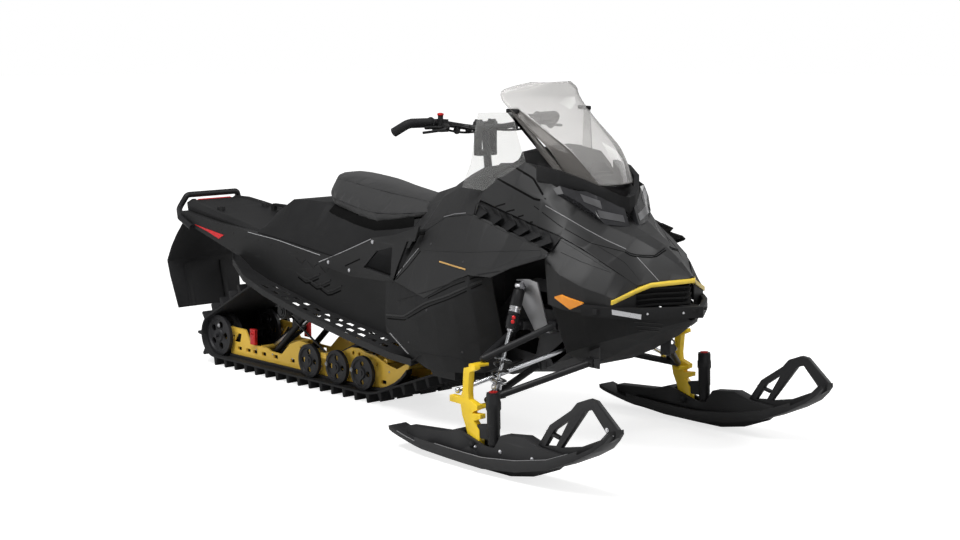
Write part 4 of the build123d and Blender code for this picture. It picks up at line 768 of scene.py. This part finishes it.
def makeFrontSprings():
    look, made = springs["front"], []
    for side in sides:
        top, foot = sided(look["top"], side), sided(look["foot"], side)
        low, high = [top.lerp(foot, share) for share in look["span"]]
        made.append(coil(f"frontCoil.{side + 1}", low, high, look["radius"], look["wire"], look["turns"],
                         "spring_black", "chassis"))
        shape = bmesh.new()
        for spot, toward in ((low, top - foot), (high, foot - top)):
            lathe(shape, facing(spot * mm, toward), look["seat"], 32)
        shapePiece(f"springSeats.{side + 1}", shape, "shock_steel", "chassis")
    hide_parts("front_springs")
    makeShocks(look)


def makeRearSprings():
    look, made = springs["rear"], []
    x, z = look["centre"]
    count = look["turns"] * look["steps"] + look["extra"]
    for side in sides:
        winding = []
        for k in range(count):
            turn = math.radians(look["start"]) - 2 * math.pi * k / look["steps"]
            winding.append((x + look["radius"] * math.cos(turn), side * (look["inner"] + look["width"] * k / count),
                            z + look["radius"] * math.sin(turn)))
        points = [sided(point, side) for point in look["leg"]] + winding[:1] + winding
        made.append(tube(f"torsionCoil.{side + 1}", points, look["wire"], "spring_black", "chassis"))
    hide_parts("torsion_springs")


makeFrontSprings()
makeRearSprings()
print("springs wound")


# screen; each row is its height, x of the middle, x of the side edge and half width, in mm
screen = {"rows": [(940, 1050, 962, 148), (1000, 1021, 912, 158), (1056, 980, 866, 166), (1110, 906, 796, 176),
                   (1185, 783, 702, 190), (1229, 745, 652, 197), (1262, 748, 646, 180), (1287, 762, 692, 96)],
          "steps": 6, "middle": 36, "edge": 6, "bandTop": 1192, "bandRise": 240, "bandShare": (0.14, 0.50),
          "thickness": 3.0}


def smoothRows(table, steps):  # rows on a smooth curve through the table's rows
    rows = []
    for k in range(len(table) - 1):
        p, q, r, s = [table[min(max(k + j, 0), len(table) - 1)] for j in (-1, 0, 1, 2)]
        for t in [step / steps for step in range(steps)]:
            rows.append([0.5 * (2 * b + (c - a) * t + (2 * a - 5 * b + 4 * c - d) * t ** 2
                                + (3 * b - a - 3 * c + d) * t ** 3) for a, b, c, d in zip(p, q, r, s)])
    return rows + [list(table[-1])]


def makeScreen():
    rows = smoothRows(screen["rows"], screen["steps"])
    narrow, wide = screen["bandShare"]
    edge, middle = screen["edge"], screen["middle"]
    across = 2 * edge + middle
    points = []
    for z, xMiddle, xEdge, half in rows:
        band = narrow + (wide - narrow) * min(max((screen["bandTop"] - z) / screen["bandRise"], 0), 1)
        shares = [-1 + band * k / edge for k in range(edge)]
        shares += [(band - 1) * (1 - 2 * k / middle) for k in range(middle)]
        shares += [1 - band + band * k / edge for k in range(edge + 1)]
        depth = xMiddle - xEdge
        radius = (half * half + depth * depth) / (2 * depth)
        for share in shares:
            turn = math.asin(min(1.0, half / radius)) * share
            points.append(Vector((xMiddle - radius + radius * math.cos(turn), radius * math.sin(turn), z)) * mm)
    clear, bands = [], []
    for i in range(len(rows) - 1):
        for k in range(across):
            a = i * (across + 1) + k
            inBand = min(k, across - 1 - k) < edge and rows[i][0] < screen["bandTop"]
            (bands if inBand else clear).append((a, a + 1, a + across + 2, a + across + 1))
    for name, faces, paint in (("screenSheet", clear, "screen_smoke"), ("screenBands", bands, "smokeBand")):
        used = sorted({k for face in faces for k in face})
        place = {k: number for number, k in enumerate(used)}
        faces = [tuple(place[k] for k in face) for face in faces]
        piece = meshPiece(name, [points[k] for k in used], faces, paint, "chassis", 70)
        wall = piece.modifiers.new("wall", "SOLIDIFY")
        wall.thickness = screen["thickness"] * mm
        wall.offset = -1
    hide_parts("windshield")


makeScreen()
print("screen bent")

# lines and plates on the body panels; stops are pixels of the frame
hoodNodes = ("hood", "nose_sides", "console", "headlamps", "visor")
sideNodes = ("side_panels", "side_pods", "side_braces", "console", "seat_base")
trimLines = {  # the nodes under it, its stops, width, lift, paint
    # hoodLine and noseLine: pale strips along the hood and nose creases, painted highlights
    "hoodLine": (hoodNodes, [[(545.5, 205.6), (566, 217.5), (585.7, 229), (606, 240), (626, 249)]], 3.0, 1.2,
                 "paleHighlight"),
    "noseLine": (hoodNodes, [[(637, 257), (648, 269), (659, 281)]], 2.4, 0.8, "paleHighlight"),
    "hoodLip": (hoodNodes, [[(626, 250), (633, 254), (654, 255), (664, 248)]], 7.0, 4.0, "panel_grey"),
    "lipShadow": (hoodNodes, [[(625, 252), (632, 256.4), (655, 257.6), (666, 250)]], 5.0, 0.8, "gapAndShade"),
    # hoodSeam: a real shut line on the hood, drawn near-black with painted shade in its groove
    "hoodSeam": (hoodNodes, [[(534, 206), (560, 226), (590, 243), (625, 252)]], 3.0, 0.5, "gapAndShade"),
    "noseFold": (hoodNodes, [[(549, 233), (580, 251), (611, 271)], [(561, 252), (583, 262), (611, 272)],
                             [(598, 246), (625, 262), (641, 281)]], 4.0, 1.6, "panel_grey"),
    # consoleTriangle: a near-black outline round the console's triangle, a real groove with painted shade in it
    "consoleTriangle": (hoodNodes, [[(493, 176), (512, 165.5), (533, 178), (545.5, 199), (537, 200.5), (493, 176)]],
                        8.0, 1.0, "gapAndShade"),
    # panelEdge: steel strips along the side panels' lit edges, painted highlights
    "panelEdge": (sideNodes, [[(444, 217), (455, 214), (466, 213)], [(418.8, 248.3), (405, 265), (392.7, 279.8)]],
                  3.4, 1.4, "bright"),
    "panelFold": (sideNodes, [[(425, 231), (447, 216), (472, 215), (502, 230), (541, 248)],
                              [(419, 250), (470, 252), (541, 250)], [(541, 250), (541, 258), (500, 271)]],
                  4.0, 1.2, "panel_grey"),
    # panelSeam: the side panels' shut lines, drawn near-black with painted shade in their grooves
    "panelSeam": (sideNodes, [[(428, 298), (452, 286), (476, 277), (498, 277.5)],
                              [(392.7, 283), (407, 268), (420.5, 251)]], 5.0, 0.6, "gapAndShade"),
    "podRidge": (sideNodes, [[(375, 314), (404, 316), (425, 303), (446, 296), (482, 280)]], 8.0, 3.0, "panel_grey"),
    "podShadow": (sideNodes, [[(376, 317.5), (405, 320), (427, 307), (447, 300), (482, 284)]], 5.0, 0.7, "gapAndShade"),
    # podDiagonal: a pale strip on the pod's corner, a painted highlight
    "podDiagonal": (sideNodes, [[(390, 333), (404, 349), (420, 366)]], 5.0, 1.6, "paleHighlight"),
    "podFold": (sideNodes, [[(432, 290), (470, 276), (500, 271)], [(398, 300), (432, 290)], [(414, 352), (470, 361)]],
                4.0, 1.4, "moulded_black"),
    "goldStripe": (sideNodes, [[(439.5, 261.5), (452, 265.5), (465.5, 269.5)]], 6.0, 1.8, "goldLine"),
    # tunnelEdge: a steel strip along the tunnel's top edge, a painted highlight
    "tunnelEdge": (("tunnel", "seat_base", "rear_deck"), [[(248, 232), (278, 240), (300, 248), (320, 255)]], 3.2, 1.0,
                   "bright"),
    "tunnelSlots": (("tunnel",), [[(297, 273), (307, 280), (320, 274)], [(308, 279), (318, 286), (331, 280)],
                                  [(319, 285), (329, 292), (342, 286)]], 7.0, 3.0, "panel_grey"),
    "slotShadows": (("tunnel",), [[(298, 277), (307, 284), (319, 278.5)], [(309, 283), (318, 290), (330, 284.5)],
                                  [(320, 289), (329, 296), (341, 290.5)]], 7.0, 0.8, "gapAndShade"),
    # braceEdge: a steel strip along the brace's lit edge, a painted highlight
    "braceEdge": (("side_braces", "tunnel", "seat_base"), [[(319, 262), (345, 251), (371, 239)]], 3.0, 1.4, "bright"),
    # braceSlots: the brace's slots drawn as near-black lines, the shade inside them painted
    "braceSlots": (("side_braces", "tunnel"), [[(330, 257), (347, 249.5)], [(345, 266), (360, 259)]], 6.0, 0.8,
                   "gapAndShade"),
    "bellySlots": (("belly_pan",), [[(634, 322), (663, 324)], [(636, 326), (662, 327.5)], [(639, 330), (659, 331)]],
                   4.0, 1.6, "panel_grey"),
}
for name, (names, table, width, lift, paint) in trimLines.items():
    lines(name, names, table, width, lift, paint, "chassis")
# near-black arms beside each vent slat: painted shadows of the slats
ventArmShadows = [[(505.3, 203.6), (494, 207)], [(514.5, 209.7), (501, 213)], [(523.6, 215.3), (510, 219)],
            [(532.7, 221.8), (519.5, 225.4)]]
lines("ventArmShadows", hoodNodes, ventArmShadows, 6.0, 0.8, "gapAndShade", "chassis", step=1.5)
# a near-black band below the seat cover's lower edge: painted shade under the overhang
underSeatShade = [[(-452, 748), (-397, 740), (-225, 718), (-108, 708), (29, 726), (100, 740)]]  # x, z in mm
lines("underSeatShade", ("seat_base",), underSeatShade, 42, 1.6, "gapAndShade", "chassis", place=onRight, step=24)
plates = {  # the nodes under it, its corners, lift, paint
    "rearReflector": (("tunnel", "rear_deck"), [(194.6, 224.2), (224, 235), (219, 238.6), (208, 231.5)], 2.4,
                      "lamp_red"),
    "towPlate": (("front_bumper",), [(611.8, 309.6), (641.5, 314.6), (641, 319.4), (612.2, 314.6)], 2.2, "bright"),
    "lampPatch": (("headlamps",), [(580, 194), (600, 201), (602, 209), (584, 202)], 1.4, "silver"),
    "lampPatchLow": (("headlamps",), [(597, 210), (623, 215.5), (625, 222.5), (600, 218)], 1.4, "silver"),
}
for name, (names, corners, lift, paint) in plates.items():
    plate(name, names, corners, lift, paint)

# a near-black tray inside the skin behind each row of vents, painted shade in place of the dark inside; corners are
# pixels just outside the opening
ventShadeTray = {"corners": ((477, 198.5), (563, 235), (556, 252), (473, 216)), "rim": 2, "depth": 32, "taper": 0.1,
            "wall": 2}


def makeVentTrays():
    hits = [seen(hoodNodes + sideNodes, *corner) for corner in ventShadeTray["corners"]]
    outward = sum((normal for spot, normal in hits), Vector()).normalized()
    middle = sum((spot for spot, normal in hits), Vector()) / 4
    corners = [spot - outward * ventShadeTray["rim"] * mm for spot, normal in hits]
    corners += [spot.lerp(middle, ventShadeTray["taper"]) - outward * ventShadeTray["depth"] * mm for spot, normal in hits]
    faces = [(4, 5, 6, 7)] + [(k, (k + 1) % 4, 4 + (k + 1) % 4, 4 + k) for k in range(4)]
    for side in sides:
        piece = meshPiece(f"ventShadeTray.{side + 1}", [sided(corner, -side) for corner in corners], faces, "gapAndShade",
                          "chassis")
        wall = piece.modifiers.new("wall", "SOLIDIFY")
        wall.thickness = ventShadeTray["wall"] * mm


makeVentTrays()
print("panel trim laid")

# fittings of the skis, placed on the right ski and mirrored
skiBodies, skiNodes = ("ski_right", "ski_left"), ("ski_right", "ski_handle_right")
skiTrim = {
    # edge: pale strips along the ski's raised rim, painted highlights
    "edge": [[(396, 432), (425, 447), (470, 459), (520, 468), (545, 467)],
             [(545, 467), (565, 459.5), (592, 446), (618, 434)]],
    "inward": 3.2, "bolts": ((532, 459.5), (607, 430.2), (475, 447), (500, 452)),
    "foot": (986, 540, 88), "lean": (-4, 0, 148),
    "adjuster": {"sleeve": ("tube_black", [(17, 0), (21, 3), (21, 52), (23, 58), (23, 118), (26, 124), (26, 148),
                                           (24, 152), (24, 174), (21, 180), (12, 181)]),
                 "ring": ("redPaint", [(9, 178), (15, 179), (15, 184), (9, 185)])},
    "pins": ((903, 514, 80), (903, 566, 80)),
    "web": {"ends": ((1243, 540, 181), (1302, 540, 168)), "half": 5, "side": 8},
}


def onSkiRim(names, px, py):  # on the top of the ski's outer edge, just inside what shows at a pixel
    hit = seen(names, px, py)
    return onTop(("ski_right",), hit[0].x / mm, hit[0].y / mm + skiTrim["inward"]) if hit else None


def makeHandleWeb(side, body):  # the small strut inside the tip loop
    look, web = skiTrim["web"], bmesh.new()
    low, high = [sided(end, side) for end in look["ends"]]
    along = (high - low).normalized()
    across = Vector((-along.z, 0, along.x)) * look["half"]
    corners = [low + across, high + across, high - across, low - across]
    rings = [[web.verts.new((corner + Vector((0, edge * look["side"], 0))) * mm) for corner in corners]
             for edge in sides]
    for k in range(4):
        web.faces.new((rings[0][k], rings[0][(k + 1) % 4], rings[1][(k + 1) % 4], rings[1][k]))
    web.faces.new(rings[0][::-1])
    web.faces.new(rings[1])
    bmesh.ops.recalc_face_normals(web, faces=web.faces)
    shapePiece(f"handleWeb.{side + 1}", web, "ski_plastic", body, 35)


def makeSkiTrim():
    # pale strips along the ski rims: painted highlights
    lines("skiEdge", skiNodes, skiTrim["edge"], 3.4, 1.4, "paleHighlight", skiBodies, place=onSkiRim)
    bolts = [hit for hit in [seen(skiNodes, px, py) for px, py in skiTrim["bolts"]] if hit]
    heads("skiBoltsRight", bolts, 5.5, 3.5, "bright", "ski_right", True)
    heads("skiBoltsLeft", flip(bolts), 5.5, 3.5, "bright", "ski_left", True)
    for side, body in zip(sides, skiBodies):
        foot = facing(sided(skiTrim["foot"], side) * mm, skiTrim["lean"])
        for name, (paint, profile) in skiTrim["adjuster"].items():
            shape = bmesh.new()
            lathe(shape, foot, profile, 32)
            shapePiece(f"adjuster.{name}.{side + 1}", shape, paint, body, 35)
        pins = [(sided(spot, side) * mm, (0, side * away, 0)) for spot, away in zip(skiTrim["pins"], sides)]
        heads(f"skiPins.{side + 1}", pins, 10, 6, "tube_black", body, True)
        makeHandleWeb(side, body)


makeSkiTrim()
print("skis fitted")

# red stops at the rail ends and clips on the screen's pillars
smallBlocks = {  # opposite corners, edge, paint
    "railStops": ((-982, 137, 118), (-946, 153, 188), 4, "redPaint"),
    "pillarClips": ((664, 174, 1180), (722, 188, 1195), 4, "moulded_black"),
}
stopKnob = {"at": (-964, 153, 168), "profile": [(9, -1), (9, 3), (5, 4), (5, 8)]}
for name, (corner, opposite, edge, paint) in smallBlocks.items():
    shape = bmesh.new()
    for side in sides:
        block(shape, sided(corner, side), sided(opposite, side), edge)
        if name == "railStops":
            lathe(shape, facing(sided(stopKnob["at"], side) * mm, (0, side, 0)), stopKnob["profile"], 20)
    shapePiece(name, shape, paint, "chassis", 40)
print("blocks set")

# bolts, rivets and wheel nuts
fasteners = {  # paint, radius, height, hexagon, the nodes they sit on, and (x, z) in mm
    "wheelNuts": ("axle_steel", 7, 6, True, ("rear_axle_idlers", "upper_wheels", "rail_wheels"),
                  [(-1202, 175), (-690, 410), (-575, 118), (-413, 118), (-250, 118)]),
    "railBolts": ("axle_steel", 4, 3, False, ("slide_rails",),
                  [(-1080, 120), (-960, 96), (-840, 92), (-700, 92), (-500, 90), (-330, 92), (-160, 120), (-60, 130)]),
    "tunnelRivets": ("tunnel_black", 3.2, 1.6, False, ("tunnel",),
                     [(x, 655 - (x + 1380) * 0.086 - 18) for x in range(-1360, -300, 90)]),
    "braceBolts": ("bright", 6, 4, True, ("side_braces", "tunnel"), [(-299, 554), (-131, 542), (50, 672), (330, 748)]),
    "panelScrews": ("frame_grey", 4.5, 2.4, False, ("side_panels", "side_pods", "nose_sides"),
                    [(420, 700), (640, 660), (470, 470), (610, 330), (330, 330), (1040, 720), (1060, 560)]),
}
for name, (paint, radius, height, hexagon, names, table) in fasteners.items():
    spots = []
    for x, z in table:
        for side in sides:
            hit = onSide(names, x, z, side)
            if hit and abs(hit[1].y) > 0.4:
                spots.append(hit)
    heads(name, spots, radius, height, paint, "chassis", hexagon)
bumperPixels = ((614.5, 312), (638.5, 316.6), (647.5, 314), (683.5, 313))
bumperBolts = [hit for hit in [seen(("front_bumper",), px, py) for px, py in bumperPixels] if hit]
heads("bumperBolts", bumperBolts + flip(bumperBolts), 4.5, 3, "bright", "chassis")
print("fasteners set")

# handlebar
barTrim = {
    "grip": ((353.6, 272, 1135), (352.2, 362, 1136)), "ribs": 13,
    "rib": [(16, -2.4), (17.6, -1.4), (17.6, 1.4), (16, 2.4)], "flange": [(16, -2), (21, -1), (21, 3), (16, 5)],
    "cables": {  # radius and path
        "lever": (5.0, ((384, 232, 1120), (410, 244, 1116), (418, 280, 1110), (412, 330, 1106), (404, 352, 1104))),
        "loom": (4.2, ((374, 214, 1108), (388, 176, 1098), (392, 120, 1094), (378, 60, 1096), (368, 30, 1100))),
        "hose": (3.4, ((392, 226, 1124), (408, 180, 1122), (402, 120, 1108), (384, 62, 1106), (366, 34, 1106)))},
    "housing": (((388, 234, 1118), (0.2, 1.0, 0), [(8, -14), (15, -12), (17, 0), (15, 12), (8, 14)], 20),
                ((362, 216, 1120), (0, 1, 0.02), [(14, -9), (21, -8), (21, 8), (14, 9)], 28)),
    "ties": ((390, 118, 1106), (390, 176, 1106)), "tieAxis": (0.1, 1, 0.1),
    "tie": [(13, -3), (15.5, -2), (15.5, 2), (13, 3)],
    "knob": ((356, -226, 1160), [(7, -8), (7, -2), (11.5, 0), (12.5, 4), (11, 8), (5, 9.6)]),
    "clamps": ((352, 34, 1112), [(18, -9), (25, -8), (25, 8), (18, 9)]),
    "clampBolts": ((338, 34, 1130), (366, 34, 1130)), "clampBolt": [(5.5, 0), (5.5, 7), (4.5, 8)],
    "riser": ((340, 27, 1008), (366, 49, 1100)), "riserFoot": ((334, -44, 1002), (372, 44, 1024)), "riserEdge": 5,
}


def makeGrips(side):
    shape = bmesh.new()
    start, end = [sided(point, side) for point in barTrim["grip"]]
    for k in range(barTrim["ribs"]):
        spot = start.lerp(end, k / (barTrim["ribs"] - 1))
        lathe(shape, facing(spot * mm, end - start), barTrim["rib"], 24)
    lathe(shape, facing(start * mm, start - end), barTrim["flange"], 28)
    shapePiece(f"gripRibs.{side + 1}", shape, "grip_rubber", "steering")
    for name, (radius, path) in barTrim["cables"].items():
        tube(f"{name}.{side + 1}", [sided(point, side) for point in path], radius, "tube_black", "steering")
    housing = bmesh.new()
    for spot, axis, profile, steps in barTrim["housing"]:
        lathe(housing, facing(sided(spot, side) * mm, sided(axis, side)), profile, steps)
    shapePiece(f"leverHousing.{side + 1}", housing, "moulded_black", "steering")
    ties = bmesh.new()
    for spot in barTrim["ties"]:
        lathe(ties, facing(sided(spot, side) * mm, sided(barTrim["tieAxis"], side)), barTrim["tie"], 24)
    shapePiece(f"barTies.{side + 1}", ties, "grip_rubber", "steering")


def makeBarMiddle():
    knob = bmesh.new()
    spot, profile = barTrim["knob"]
    lathe(knob, facing(Vector(spot) * mm, (0, 0, 1)), profile, 28)
    shapePiece("stopKnob", knob, "redPaint", "steering")
    clamps, risers = bmesh.new(), bmesh.new()
    spot, profile = barTrim["clamps"]
    for side in sides:
        lathe(clamps, facing(sided(spot, side) * mm, (0, 1, 0)), profile, 32)
        for bolt in barTrim["clampBolts"]:
            lathe(clamps, facing(sided(bolt, side) * mm, (0, 0, 1)), barTrim["clampBolt"], 6)
        block(risers, *[sided(corner, side) for corner in barTrim["riser"]], barTrim["riserEdge"])
    block(risers, *barTrim["riserFoot"], barTrim["riserEdge"])
    shapePiece("barClamps", clamps, "frame_grey", "steering")
    shapePiece("barRisers", risers, "tube_black", "steering", 40)


for side in sides:
    makeGrips(side)
makeBarMiddle()
print("bar dressed")

bpy.context.view_layer.update()
